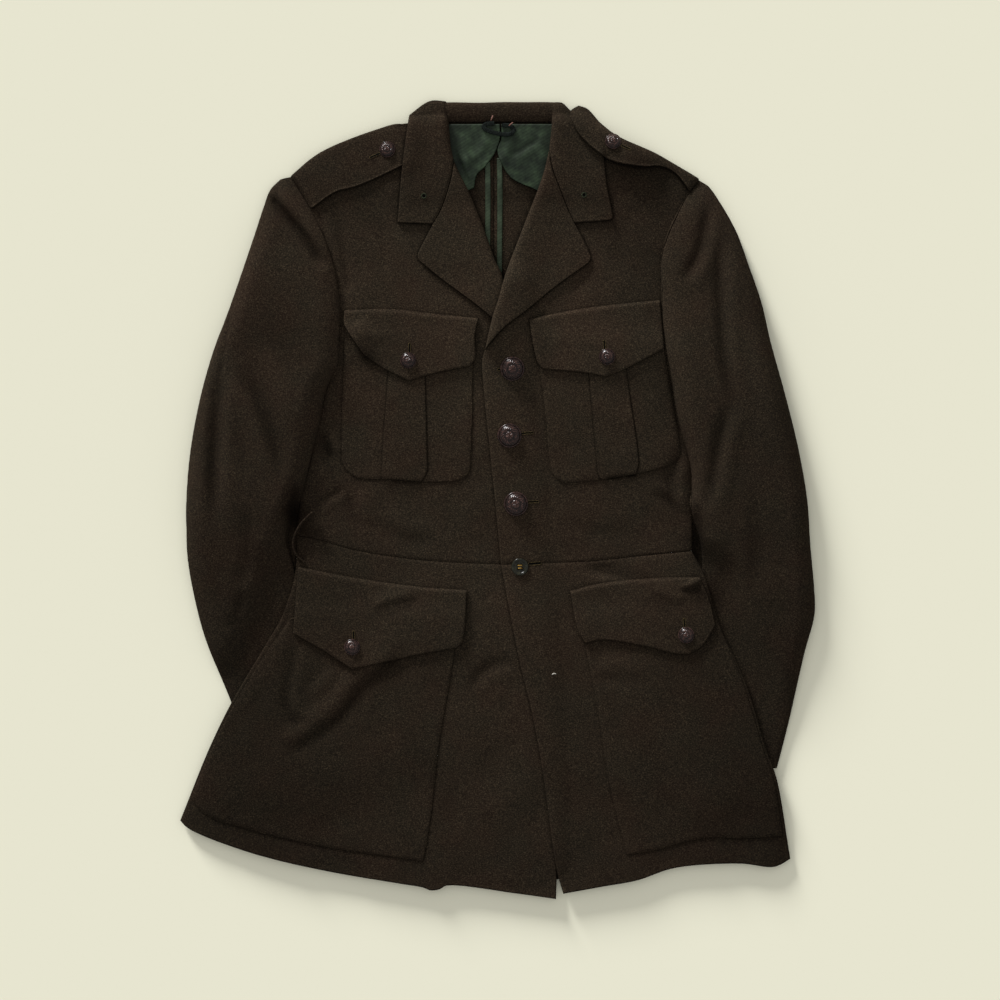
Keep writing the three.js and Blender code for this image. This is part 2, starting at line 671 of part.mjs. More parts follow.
// The right front and its skirt lap over the left ones
const fromFrontEdge = [0, 0.04, 0.1, 0.18, 0.28, 0.4, 0.52, 0.64, 0.76, 0.88, 1];
layTogether([
  {
    name: "front_right",
    edges: {
      top: line(shoulderRight, fromFrontEdge),
      left: join(line(rollRight, 9), line(edgeRight, 5)),
      right: join(cut.armholeRight, cut.sideRight),
      bottom: cut.waistRight,
      shares: fromFrontEdge,
    },
    level: bodyLevel,
    gap: seamGap,
    reach: 17,
  },
  {
    name: "skirt_right",
    edges: {
      top: shift(cut.waistRight, 0, -seamGap),
      left: shift(line(skirtEdgeRight, 14), 0, -seamGap),
      right: shift(line(skirtSideRight, 14), 0, -seamGap),
      bottom: shift(line(hemRight, fromFrontEdge), 0, -seamGap),
      shares: fromFrontEdge,
    },
    level: bodyLevel,
    gap: seamGap,
    reach: 17,
  },
]);
layTogether([
  {
    name: "lapel_right",
    edges: {
      top: gorgeRight,
      left: line([[53, 363], [47, 338], [25, 280], [7.5, 233], [0, 206], [-5, 191.5], [-13.5, 155]], 9),
      right: line([[79, 287], [87.5, 272.5], [95.7, 254.8], [96.4, 250.5], [94.6, 246.5]], 9),
      bottom: line([[-13.5, 155], [-8.3, 162], [6.2, 178], [29, 195.5], [55, 217.5], [94.6, 246.5]], 5),
    },
    thick: turnedCloth,
    extra: puffRight,
    reach: 7,
  },
]);

// Pockets, each with its flap. Two columns of each chest pocket are raised as a box pleat
const pleated = {
  topShares: [0, 0.12, 0.24, 0.345, 0.36, 0.49, 0.62, 0.635, 0.76, 0.88, 1],
  bottomShares: [0, 0.11, 0.22, 0.31, 0.325, 0.5, 0.68, 0.695, 0.8, 0.9, 1],
  raised: [0, 0, 0, 0, pleatHeight, pleatHeight, pleatHeight, 0, 0, 0, 0],
};
layTogether([
  {
    name: "chest_pocket_left",
    edges: {
      top: line([[-160, 168], [-25.5, 165]], pleated.topShares),
      left: line([[-160, 168], [-163, 60], [-161, 32], [-150, 23]], 7),
      right: line([[-25.5, 165], [-28, 50], [-30.5, 27], [-43.7, 18.7]], 7),
      bottom: line([[-150, 23], [-117, 20.8], [-77, 17.7], [-43.7, 18.7]], pleated.bottomShares),
    },
    raised: pleated.raised,
    reach: 11,
  },
  {
    name: "chest_pocket_right",
    edges: {
      top: line([[40, 166], [172.5, 160]], pleated.topShares),
      left: line([[40, 166], [48.9, 86], [54, 38.5], [57.5, 25], [67, 16.5]], 7),
      right: line([[172.5, 160], [182, 102], [189, 62], [189, 45], [180.5, 35.5]], 7),
      bottom: line([[67, 16.5], [106, 20], [144.6, 26], [180.5, 35.5]], pleated.bottomShares),
    },
    raised: pleated.raised,
    reach: 11,
  },
  {
    name: "lower_pocket_left",
    edges: {
      top: line([[-221, -124], [-40, -124]], 8),
      left: line([[-221, -124], [-240, -155], [-274.5, -213], [-299, -262], [-316, -310]], 9),
      right: line([[-40, -124], [-49, -184], [-61.5, -258], [-69.7, -331], [-77.5, -377.5]], 9),
      bottom: line([
        [-316, -310], [-303, -327.5], [-268, -342], [-178, -363], [-113, -372.5],
        [-77.5, -377.5],
      ], 8),
    },
    reach: 14,
  },
  {
    name: "lower_pocket_right",
    edges: {
      top: line([[84, -124], [226, -122]], 7),
      left: line([[84, -124], [90.5, -152], [104, -222.5], [115.5, -295], [134, -371]], 9),
      right: line([[226, -122], [255, -191], [276, -260], [287, -292], [297, -351.5]], 9),
      bottom: line([
        [134, -371], [168, -365], [203, -355.5], [224, -352.6], [250, -353.6],
        [297, -351.5],
      ], 7),
    },
    reach: 14,
  },
]);

const curledEnd = (x) => 3.5 * ease((-128 - x) / 26);
layTogether([
  {
    name: "chest_flap_left",
    edges: {
      top: line([[-160, 196.5], [-109, 197.6], [-72, 193.4], [-19.8, 188]], 10),
      left: line([[-160, 196.5], [-160, 182], [-153, 169.5], [-139.4, 150]], 5),
      right: line([[-19.8, 188], [-23.9, 169.5], [-23.5, 147], [-29, 138.3]], 5),
      bottom: join(
        line([[-139.4, 150], [-121.7, 137.5], [-93.6, 122.7]], 4),
        line([[-93.6, 122.7], [-64.5, 131], [-29, 138.3]], 6),
      ),
    },
    thick: turnedCloth,
    extra: (x, y) => curledEnd(x) * ease((190 - y) / 24),
    reach: 7,
  },
  {
    name: "chest_flap_right",
    edges: {
      top: line([[32, 187], [72, 195.5], [117.5, 202], [168.5, 207]], 10),
      left: line([[32, 187], [36.5, 160], [42, 140], [47, 135.5]], 5),
      right: line([[168.5, 207], [172.8, 156.5]], 5),
      bottom: join(
        line([[47, 135.5], [92, 131], [112.3, 127]], 5),
        line([[112.3, 127], [130, 134], [155, 146.6], [172.8, 156.5]], 5),
      ),
    },
    thick: turnedCloth,
    reach: 13,
  },
  {
    name: "lower_flap_left",
    edges: {
      top: line([[-208, -70], [-154, -81], [-79, -91.5], [-32, -94.6]], 11),
      left: line([[-208, -70], [-213, -140]], 5),
      right: line([[-32, -94.6], [-37.4, -149], [-43.7, -155]], 5),
      bottom: join(
        line([[-213, -140], [-186, -155], [-151.8, -176.8]], 4),
        line([[-151.8, -176.8], [-108, -167.5], [-79, -161], [-43.7, -155]], 7),
      ),
    },
    thick: turnedCloth,
    reach: 14,
  },
  {
    name: "lower_flap_right",
    edges: {
      top: line([[75, -95.7], [98, -89.4], [133, -84.2], [185, -81], [210, -81]], 11),
      left: line([[75, -95.7], [83.2, -137], [90.5, -150]], 5),
      right: line([[210, -81], [220, -105], [226, -131]], 5),
      bottom: join(
        line([[90.5, -150], [109, -146.6], [156, -154], [180, -160], [197.6, -161.7]], 8),
        line([[197.6, -161.7], [213, -152], [226, -131]], 3),
      ),
    },
    thick: turnedCloth,
    reach: 14,
  },
]);

// Shoulder straps. The left one runs in under the collar, and the right one is bowed over it
layTogether([
  {
    name: "strap_left",
    edges: {
      top: line([[-216, 337], [-185, 361.5], [-123, 386.5], [-104, 391], [-93, 388]], 9),
      left: [[-216, 337], [-205, 319.5], [-194.5, 302]],
      right: [[-93, 388], [-88, 373], [-91, 351]],
      bottom: line([[-194.5, 302], [-169.5, 319], [-146.5, 325.5], [-101, 346], [-91, 351]], 9),
    },
    thick: turnedCloth,
    reach: 8,
  },
]);

// The collar: a stand that folds over at the back of the neck, and a leaf on each side
const collarOutline = [[-110, 388], [-93, 400.5], [-71, 415], [67, 413], [76, 405], [96, 396]];
const collarY = yAlong(collarOutline);
function leafEdges(top, left, right, bottom) {
  return { top: line(top, 4), left, right, bottom: line(bottom, 4) };
}
const leaves = [
  {
    edges: leafEdges(
      [[-92.6, 400.4], [-71, 415], [-54, 414.8]],
      line([[-92.6, 400.4], [-99.8, 344], [-104.6, 287.5]], 11),
      join(
        line([[-54, 414.8], [-52, 399], [-49, 367], [-46.1, 353]], 6),
        shift([...gorgeLeft].reverse(), -0.4, 0.2),
      ),
      [[-104.6, 287.5], [-68, 286.2]],
    ),
    puff: puffLeft,
    eyelet: [-77, 315],
  },
  {
    edges: leafEdges(
      [[55, 413.6], [67, 413], [76, 405], [93, 397.5]],
      join(line([[55, 413.6], [56, 392], [53.3, 363.5]], 6), shift(gorgeRight, 0.4, 0.2)),
      line([
        [93, 397.5], [106, 372], [110.3, 353], [113.5, 325], [118.6, 300.5], [119.5, 293.5], [117.5, 290.2],
      ], 11),
      [[79.4, 287.2], [117.5, 290.2]],
    ),
    puff: puffRight,
    eyelet: [89.5, 316],
  },
];
const foldSection = [
  [392.8, 3.4], [400, 4.6], [407, 4.6], [410.8, 3.4], [411.2, 2.4], [408, cloth], [413.8 - fallDepth, cloth],
  [413.8 - fallDepth, 0], [411.6, 0], [413.6, 1.4], [413.9, 3.4], [412, 5.6], [408, 6.6], [400, 6.5],
  [392.8, 5.4],
];
const foldWidth = { fromX: -72, toX: 67 };
function collarFold() {
  const section = new THREE.Shape(foldSection.map(([y, z]) => new THREE.Vector2(y, z)));
  const depth = foldWidth.toX - foldWidth.fromX;
  const strip = new THREE.ExtrudeGeometry(section, { depth, bevelEnabled: false });
  const turn = new THREE.Matrix4().makeBasis(
    new THREE.Vector3(0, 1, 0),
    new THREE.Vector3(0, 0, 1),
    new THREE.Vector3(1, 0, 0),
  );
  return strip.applyMatrix4(turn).translate(foldWidth.fromX, 0, 0);
}
const leafSheets = leaves.map(({ edges, puff }) => {
  const under = (x, y) => {
    const lying = ground.over(x, Math.min(y, 394), 7) + layerGap + puff(x, Math.min(y, 394));
    return mix(2.4, Math.max(lying, 6.2), quarterRound((collarY(x) - y - 1.4) / 15));
  };
  return sheet(panelRows(edges), under, turnedCloth);
});
const eyeletRadius = 1.3;
const eyeletHole = ([x, y]) => {
  const pin = new THREE.CylinderGeometry(eyeletRadius, eyeletRadius, 60, 10).rotateX(Math.PI / 2);
  return solid(pin.translate(x, y, 20));
};
const collarBody = leafSheets.reduce((body, leaf) => body.add(solid(leaf)), solid(collarFold()));
const collarPierced = leaves.reduce((body, { eyelet }) => body.subtract(eyeletHole(eyelet)), collarBody);
const collarGeometry = geometryOf(collarPierced);
add("collar", collarGeometry, wool());
leafSheets.forEach((leaf) => ground.lay(leaf));

layTogether([
  {
    name: "strap_right",
    edges: {
      top: line([
        [84, 410.8], [93, 407.5], [108, 391], [125, 377.5], [165, 360], [184, 349.5],
        [210, 334],
      ], 10),
      left: [[84, 410.8], [76.5, 405.5], [75, 397]],
      right: [[210, 334], [205, 327], [199.7, 320.3]],
      bottom: line([
        [75, 397], [83, 380.5], [104, 360], [120.5, 350.5], [151, 345.3], [169.5, 346.3],
        [184, 340], [199.7, 320.3],
      ], 10),
    },
    thick: turnedCloth,
    extra: (x) => 8 * Math.sin(Math.PI * clamp((x - 84) / 106)) ** 2,
    reach: 4,
  },
]);

// Loops: a strip of even thickness along a path
function strip(path, width, thick, steps) {
  const section = new THREE.Shape();
  section.moveTo(-width / 2, -thick / 2);
  section.lineTo(width / 2, -thick / 2);
  section.lineTo(width / 2, thick / 2);
  section.lineTo(-width / 2, thick / 2);
  const knots = path.map((p) => new THREE.Vector3(...p));
  const extrudePath = new THREE.CatmullRomCurve3(knots, false, "centripetal");
  return new THREE.ExtrudeGeometry(section, { steps, extrudePath, bevelEnabled: false });
}
const onGround = (points, reach, lift) => points.map(([x, y]) => [x, y, ground.over(x, y, reach) + lift]);
const hangerPath = [[-15, 391], [-10, 386], [-2, 382], [6, 380.8], [13, 384], [16, 391]];
add("hanger_loop", strip(onGround(hangerPath, 4, 1.5), 1.6, 1.6, 12), braid());
const keeperPath = [[-192, -13], [-205, -26], [-212, -40], [-212.5, -50], [-209, -59], [-202, -65]];
const keeper = { width: 6, thick: 2 };
const keeperSeat = ([x, y]) => ground.over(x, y, 4) + seamGap + keeper.width / 2;
const keeperEnds = [keeperSeat(keeperPath[0]), keeperSeat(keeperPath.at(-1))];
const keeperHeight = (i) => mix(...keeperEnds, i / (keeperPath.length - 1));
const keeperLine = keeperPath.map(([x, y], i) => [x, y, keeperHeight(i)]);
add("belt_loop", strip(keeperLine, keeper.width, keeper.thick, 10), wool());

// Buttons: a domed shell with a rolled rim, and a flat one with four holes
function domedButton({ diameter, rim, height }) {
  const radius = diameter / 2;
  const profile = [[0, 0], [radius * 0.9, 0], [radius, rim * 0.5], [radius * 0.97, rim]];
  const domeHeight = (share) => mix(rim, height, Math.sqrt(1 - share ** 2));
  const dome = [0.84, 0.62, 0.34].map((share) => [radius * share, domeHeight(share)]);
  const points = [...profile, ...dome, [0, height]].map(([r, z]) => new THREE.Vector2(r, z));
  return new THREE.LatheGeometry(points, 16).rotateX(Math.PI / 2);
}
function holedButton({ diameter, rim, height, hole, holeReach }) {
  const radius = diameter / 2;
  const profile = [
    [0, 0], [radius - 0.8, 0], [radius, 1], [radius - 0.3, height],
    [radius - rim - 0.6, height - 0.7], [0, height - 0.7],
  ];
  const outline = profile.map(([r, z]) => new THREE.Vector2(r, z));
  const disc = new THREE.LatheGeometry(outline, 20).rotateX(Math.PI / 2);
  const corners = [[1, 1], [1, -1], [-1, 1], [-1, -1]];
  const pierced = corners.reduce((body, [sx, sy]) => {
    const pin = new THREE.CylinderGeometry(hole / 2, hole / 2, 4 * height, 8).rotateX(Math.PI / 2);
    const reach = holeReach / Math.SQRT2;
    return body.subtract(solid(pin.translate(sx * reach, sy * reach, 0)));
  }, solid(disc));
  return geometryOf(pierced);
}

const buttons = [
  { name: "button_front_1", x: 15, y: 135.5, size: largeButton },
  { name: "button_front_2", x: 12, y: 66, size: largeButton },
  { name: "button_front_3", x: 18.7, y: -5, size: largeButton },
  { name: "button_waist", x: 22.9, y: -70.7, size: flatButton, flat: true },
  { name: "button_chest_left", x: -93.1, y: 144, size: smallButton },
  { name: "button_chest_right", x: 113.4, y: 147.7, size: smallButton },
  { name: "button_lower_left", x: -151.4, y: -153.9, size: smallButton },
  { name: "button_lower_right", x: 195.5, y: -141.4, size: smallButton },
  { name: "button_strap_left", x: -114.9, y: 363.6, size: smallButton },
  { name: "button_strap_right", x: 119.6, y: 371.3, size: smallButton },
];
for (const { name, x, y, size, flat } of buttons) {
  const radius = size.diameter / 2;
  const height = (dx, dy) => ground.over(x + dx, y + dy, 1);
  const slopeX = (height(radius, 0) - height(-radius, 0)) / (2 * radius);
  const slopeY = (height(0, radius) - height(0, -radius)) / (2 * radius);
  let seat = 0;
  for (let turn = 0; turn < 16; turn += 1) {
    for (const share of [0, 0.5, 1, 1.15]) {
      const dx = radius * share * Math.cos((Math.PI * turn) / 8);
      const dy = radius * share * Math.sin((Math.PI * turn) / 8);
      seat = Math.max(seat, height(dx, dy) - slopeX * dx - slopeY * dy);
    }
  }
  const shape = flat ? holedButton(size) : domedButton(size);
  const button = add(name, shape, flat ? buttonFlat() : buttonShell());
  const normal = new THREE.Vector3(-slopeX, -slopeY, 1).normalize();
  button.quaternion.setFromUnitVectors(new THREE.Vector3(0, 0, 1), normal);
  button.position.set(x, y, seat + seamGap);
}

export default group;
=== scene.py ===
# A military service jacket of heavy wool, laid flat on its back with the fronts up.
# Lengths are in millimetres until a mesh is made. Left and right are as seen from above, collar at the top.
import math
import bpy
import numpy as np
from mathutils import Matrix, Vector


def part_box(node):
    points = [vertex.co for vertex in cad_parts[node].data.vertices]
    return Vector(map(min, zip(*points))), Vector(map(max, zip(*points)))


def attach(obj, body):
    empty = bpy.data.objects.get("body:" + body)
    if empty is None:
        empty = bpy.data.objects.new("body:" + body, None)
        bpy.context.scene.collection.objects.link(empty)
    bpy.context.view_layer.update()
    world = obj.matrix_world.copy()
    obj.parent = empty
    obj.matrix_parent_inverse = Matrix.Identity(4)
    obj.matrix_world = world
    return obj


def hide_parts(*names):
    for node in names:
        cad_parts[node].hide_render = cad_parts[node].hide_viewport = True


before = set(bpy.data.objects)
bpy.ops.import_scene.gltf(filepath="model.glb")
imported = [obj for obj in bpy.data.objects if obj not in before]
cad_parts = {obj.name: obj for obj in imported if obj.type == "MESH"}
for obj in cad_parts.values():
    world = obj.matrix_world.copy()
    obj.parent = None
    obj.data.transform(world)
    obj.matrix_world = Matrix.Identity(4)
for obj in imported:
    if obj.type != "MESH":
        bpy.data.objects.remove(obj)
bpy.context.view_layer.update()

mm = 0.001
rng = np.random.default_rng(41)


# Small curves
def clamp(t):
    return np.clip(t, 0.0, 1.0)


def ease(t):
    # Three t squared less two t cubed, held between 0 and 1
    t = clamp(t)
    return t * t * (3 - 2 * t)


def quarterRound(t):
    # The height of a quarter circle at t, from 0 at its foot to 1
    return np.sqrt(1 - (1 - clamp(t)) ** 2)


def mix(a, b, t):
    return a + (b - a) * t


def softMax(a, b, blend=0.6):
    # Half of the sum and the rounded difference, so that the higher of two surfaces takes over softly
    return 0.5 * (a + b + np.sqrt((a - b) ** 2 + blend ** 2))


def curve(rows):
    # A smooth curve through (place, value) rows: each span is bent by the slopes at its two ends
    table = np.asarray(rows, float)
    table = table[np.argsort(table[:, 0], kind="stable")]
    place, value = table[:, 0], table[:, 1]
    before = np.maximum(np.arange(len(place)) - 1, 0)
    after = np.minimum(np.arange(len(place)) + 1, len(place) - 1)
    slope = (value[after] - value[before]) / (place[after] - place[before])

    def at(x):
        x = np.clip(x, place[0], place[-1])
        i = np.clip(np.searchsorted(place, x, "right") - 1, 0, len(place) - 2)
        span = place[i + 1] - place[i]
        t = (x - place[i]) / span
        rise = (value[i + 1] - value[i]) * ease(t)
        return value[i] + rise + slope[i] * span * t * (1 - t) ** 2 - slope[i + 1] * span * t ** 2 * (1 - t)

    return at


def smoothLine(points, count=241):
    # Centripetal Catmull-Rom spline through the points, resampled at equal steps of its length
    p = np.asarray(points, float)
    if len(p) > 2:
        q = np.vstack([2 * p[0] - p[1], p, 2 * p[-1] - p[-2]])
        gap = np.sqrt(np.linalg.norm(np.diff(q, axis=0), axis=1))[:, None]
        a, b, c, d = q[:-3], q[1:-2], q[2:-1], q[3:]
        before, here, after = gap[:-2], gap[1:-1], gap[2:]
        leave = ((b - a) / before - (c - a) / (before + here) + (c - b) / here) * here
        arrive = ((c - b) / here - (d - b) / (here + after) + (d - c) / after) * here
        t = np.linspace(0, 1, 24, endpoint=False)[None, :, None]
        b, c, leave, arrive = (k[:, None, :] for k in (b, c, leave, arrive))
        dense = (2 * t ** 3 - 3 * t ** 2 + 1) * b + (t ** 3 - 2 * t ** 2 + t) * leave
        dense = dense + (3 * t ** 2 - 2 * t ** 3) * c + (t ** 3 - t ** 2) * arrive
        p = np.vstack([dense.reshape(-1, p.shape[1]), p[-1:]])
    return evenly(p, count)


def evenly(p, count=241):
    # The same line with its points at equal steps
    length = np.concatenate([[0], np.cumsum(np.linalg.norm(np.diff(p, axis=0), axis=1))])
    steps = np.linspace(0, length[-1], count)
    return np.stack([np.interp(steps, length, p[:, k]) for k in range(p.shape[1])], 1)


def joined(*lines):
    # Lines that follow each other, with a sharp corner where they meet
    return evenly(np.vstack([line if k == 0 else line[1:] for k, line in enumerate(lines)]), 361)


def moved(points, dx, dy):
    return np.asarray(points, float) + (dx, dy)


# The lattice that holds heights over the whole coat, one value for each millimetre
lattice = {"pitch": 1.0, "left": -348.0, "low": -436.0, "across": 697, "along": 877}
latticeX, latticeY = np.meshgrid(
    lattice["left"] + lattice["pitch"] * np.arange(lattice["across"]),
    lattice["low"] + lattice["pitch"] * np.arange(lattice["along"]),
)


def sample(field, x, y):
    # The four neighbours on the lattice, weighted by nearness
    c = np.clip((x - lattice["left"]) / lattice["pitch"], 0, lattice["across"] - 1.001)
    r = np.clip((y - lattice["low"]) / lattice["pitch"], 0, lattice["along"] - 1.001)
    i, j = c.astype(int), r.astype(int)
    s, t = c - i, r - j
    return mix(mix(field[j, i], field[j, i + 1], s), mix(field[j + 1, i], field[j + 1, i + 1], s), t)


def spread(field, reach):
    # The highest value within a reach, along the rows and then along the columns
    for axis in (0, 1):
        base = field
        for k in range(1, int(round(reach / lattice["pitch"])) + 1):
            field = np.maximum(field, np.maximum(np.roll(base, k, axis), np.roll(base, -k, axis)))
    return field


def soften(field, radius):
    # Three running means, which together come close to a bell-shaped blur of that radius
    half = max(1, int(round(radius / lattice["pitch"])))
    width = 2 * half + 1
    for axis in (0, 1) * 3:
        pads = [(half + 1, half) if k == axis else (0, 0) for k in (0, 1)]
        total = np.cumsum(np.pad(field, pads, mode="edge"), axis)
        high = total[width:] if axis == 0 else total[:, width:]
        low = total[:-width] if axis == 0 else total[:, :-width]
        field = (high - low) / width
    return field


def unevenness(radius, height):
    # Blurred seeded noise, scaled so that its usual swing is the height
    noise = soften(rng.standard_normal(latticeX.shape), radius)
    return height * noise / noise.std()


def maskOf(outline):
    # Inside where a row has crossed the outline an odd number of times
    a, b = outline, np.roll(outline, -1, 0)
    rows = lattice["low"] + lattice["pitch"] * np.arange(lattice["along"])
    crosses = (a[:, None, 1] <= rows) != (b[:, None, 1] <= rows)
    edge, row = np.nonzero(crosses)
    share = (rows[row] - a[edge, 1]) / (b[edge, 1] - a[edge, 1])
    x = a[edge, 0] + share * (b[edge, 0] - a[edge, 0])
    column = np.clip(np.ceil((x - lattice["left"]) / lattice["pitch"]).astype(int), 0, lattice["across"])
    turns = np.zeros((lattice["along"], lattice["across"] + 1), int)
    np.add.at(turns, (row, column), 1)
    return (np.cumsum(turns, 1)[:, :-1] % 2).astype(bool)


def lineField(points, limit):
    # For each lattice point near a line: its distance, above 0 on the left of the way, and its share of the way
    path = smoothLine(points, max(8, 4 * len(points)))
    x0, y0 = path.min(0) - limit
    x1, y1 = path.max(0) + limit
    column = slice(max(0, int(x0 - lattice["left"])), max(0, int(x1 - lattice["left"])) + 2)
    row = slice(max(0, int(y0 - lattice["low"])), max(0, int(y1 - lattice["low"])) + 2)
    px, py = latticeX[row, column][..., None], latticeY[row, column][..., None]
    a, step = path[:-1], np.diff(path, axis=0)
    square = (step ** 2).sum(1)
    t = clamp(((px - a[:, 0]) * step[:, 0] + (py - a[:, 1]) * step[:, 1]) / square)
    dx, dy = px - a[:, 0] - t * step[:, 0], py - a[:, 1] - t * step[:, 1]
    distance = np.hypot(dx, dy)
    nearest = distance.argmin(-1)[..., None]
    side = np.sign(np.take_along_axis(step[:, 0] * dy - step[:, 1] * dx, nearest, -1)[..., 0])
    length = np.concatenate([[0], np.cumsum(np.sqrt(square))])
    place = length[nearest[..., 0]] + np.take_along_axis(t * np.sqrt(square), nearest, -1)[..., 0]
    return row, column, side * distance.min(-1), place / length[-1]


def creaseMap(creases):
    # Each crease is a bell across its line that fades out at both ends; a fold has a ridge beside its trough
    total = np.zeros(latticeX.shape)
    for crease in creases:
        width, depth = crease["width"], crease["depth"]
        beside, lean = crease.get("beside", 0), crease.get("lean", 1)
        row, column, away, share = lineField(crease["path"], 4.5 * width)
        fade = ease(share / crease.get("start", 0.3)) * ease((1 - share) / crease.get("end", 0.3))
        bell = depth * np.exp(-((away / width) ** 2))
        ridge = beside * np.exp(-(((away - 1.7 * lean * width) / (1.25 * width)) ** 2))
        total[row, column] += (bell + ridge) * fade
    return total


# Materials
def linear(code):
    # An sRGB hex colour turned to the linear values that nodes take
    values = [int(code[k:k + 2], 16) / 255 for k in (1, 3, 5)]
    return tuple(v / 12.92 if v <= 0.04045 else ((v + 0.055) / 1.055) ** 2.4 for v in values) + (1.0,)


def node(tree, kind, settings=None, inputs=None, stops=()):
    # Adds a node, sets its properties, sets each input or links it to another node's socket, and fills a ramp
    made = tree.nodes.new(kind)
    for key, value in (settings or {}).items():
        setattr(made, key, value)
    for key, value in (inputs or {}).items():
        if isinstance(value, bpy.types.NodeSocket):
            tree.links.new(value, made.inputs[key])
        else:
            made.inputs[key].default_value = value
    for k, (place, code) in enumerate(stops):
        element = made.color_ramp.elements[k] if k < 2 else made.color_ramp.elements.new(place)
        element.position, element.color = place, linear(code)
    return made


def newMaterial(name):
    made = bpy.data.materials.new(name)
    made.use_nodes = True
    made.node_tree.nodes.clear()
    return made, made.node_tree


def shaded(tree, colour):
    # The colour times the piece's shade attribute: 1 on open cloth, lower where shade is painted in seams,
    # folds and under edges, higher where highlight is painted
    shade = node(tree, "ShaderNodeAttribute", {"attribute_name": "shade"}).outputs["Fac"]
    tone = node(tree, "ShaderNodeCombineColor", inputs={0: shade, 1: shade, 2: shade}).outputs[0]
    return node(tree, "ShaderNodeMix", {"data_type": "RGBA", "blend_type": "MULTIPLY"},
                {0: 1.0, 6: colour, 7: tone}).outputs[2]


perMetre = 1000.0
woolLook = {
    "base": "#28211A", "dark": "#130F0B", "fleck": "#463B2D", "moss": "#24221B", "rust": "#2E211A",
    "speck": "#625644",
    "fibreMm": 0.95, "speckMm": 1.25, "patchMm": 60, "bumpMm": 0.3, "roughness": 0.95,
}


def meltonWool(name, look):
    # Heathered melton wool, woven, milled and pressed: matt and fuzzy, with dark and light fibres side by side.
    # Real fibres are finer than the render can show, so the mixture is drawn as coarse as it can show.
    made, tree = newMaterial(name)
    place = node(tree, "ShaderNodeTexCoord").outputs["Object"]
    grain = node(tree, "ShaderNodeMapping", inputs={"Scale": (1.0, 0.72, 1.0), "Vector": place}).outputs[0]
    cross = node(tree, "ShaderNodeMapping", inputs={"Scale": (0.66, 1.0, 1.0), "Vector": place}).outputs[0]
    warp = node(tree, "ShaderNodeTexNoise", inputs={
        "Scale": perMetre / look["fibreMm"], "Detail": 2.0, "Roughness": 0.6, "Vector": grain}).outputs["Fac"]
    weft = node(tree, "ShaderNodeTexNoise", inputs={
        "Scale": perMetre / look["fibreMm"] * 0.9, "Detail": 2.0, "Roughness": 0.6,
        "Vector": cross}).outputs["Fac"]
    speck = node(tree, "ShaderNodeTexNoise", inputs={
        "Scale": perMetre / look["speckMm"], "Detail": 1.0, "Roughness": 0.5, "Vector": place}).outputs["Fac"]
    patch = node(tree, "ShaderNodeTexNoise", inputs={
        "Scale": perMetre / look["patchMm"], "Detail": 3.0, "Roughness": 0.6, "Vector": place}).outputs["Fac"]
    both = node(tree, "ShaderNodeMath", {"operation": "ADD"}, {0: warp, 1: weft}).outputs[0]
    half = node(tree, "ShaderNodeMath", {"operation": "MULTIPLY"}, {0: both, 1: 0.5}).outputs[0]
    heather = node(tree, "ShaderNodeValToRGB", inputs={"Fac": half}, stops=(
        (0.36, look["dark"]), (0.64, look["fleck"]), (0.5, look["base"]))).outputs["Color"]
    tint = node(tree, "ShaderNodeValToRGB", inputs={"Fac": patch}, stops=(
        (0.38, look["moss"]), (0.64, look["rust"]), (0.5, look["base"]))).outputs["Color"]
    cloth = node(tree, "ShaderNodeMix", {"data_type": "RGBA"}, {0: 0.3, 6: heather, 7: tint}).outputs[2]
    light = node(tree, "ShaderNodeMapRange", inputs={0: speck, 1: 0.6, 2: 0.76, 3: 0.0, 4: 0.4}).outputs[0]
    cloth = node(tree, "ShaderNodeMix", {"data_type": "RGBA"},
                 {0: light, 6: cloth, 7: linear(look["speck"])}).outputs[2]
    bump = node(tree, "ShaderNodeBump", inputs={
        "Strength": 0.4, "Distance": look["bumpMm"] * mm, "Height": both}).outputs[0]
    shader = node(tree, "ShaderNodeBsdfPrincipled", inputs={
        "Base Color": shaded(tree, cloth), "Normal": bump, "Roughness": look["roughness"],
        "Specular IOR Level": 0.02})
    node(tree, "ShaderNodeOutputMaterial", inputs={"Surface": shader.outputs["BSDF"]})
    return made


liningLook = {"base": "#1F291C", "light": "#303E2B", "dark": "#10170F", "twillMm": 1.5, "roughness": 0.55,
    "cloudMm": 12}
bindingLook = {**liningLook, "base": "#2F392A", "light": "#3D4936", "dark": "#20281C"}


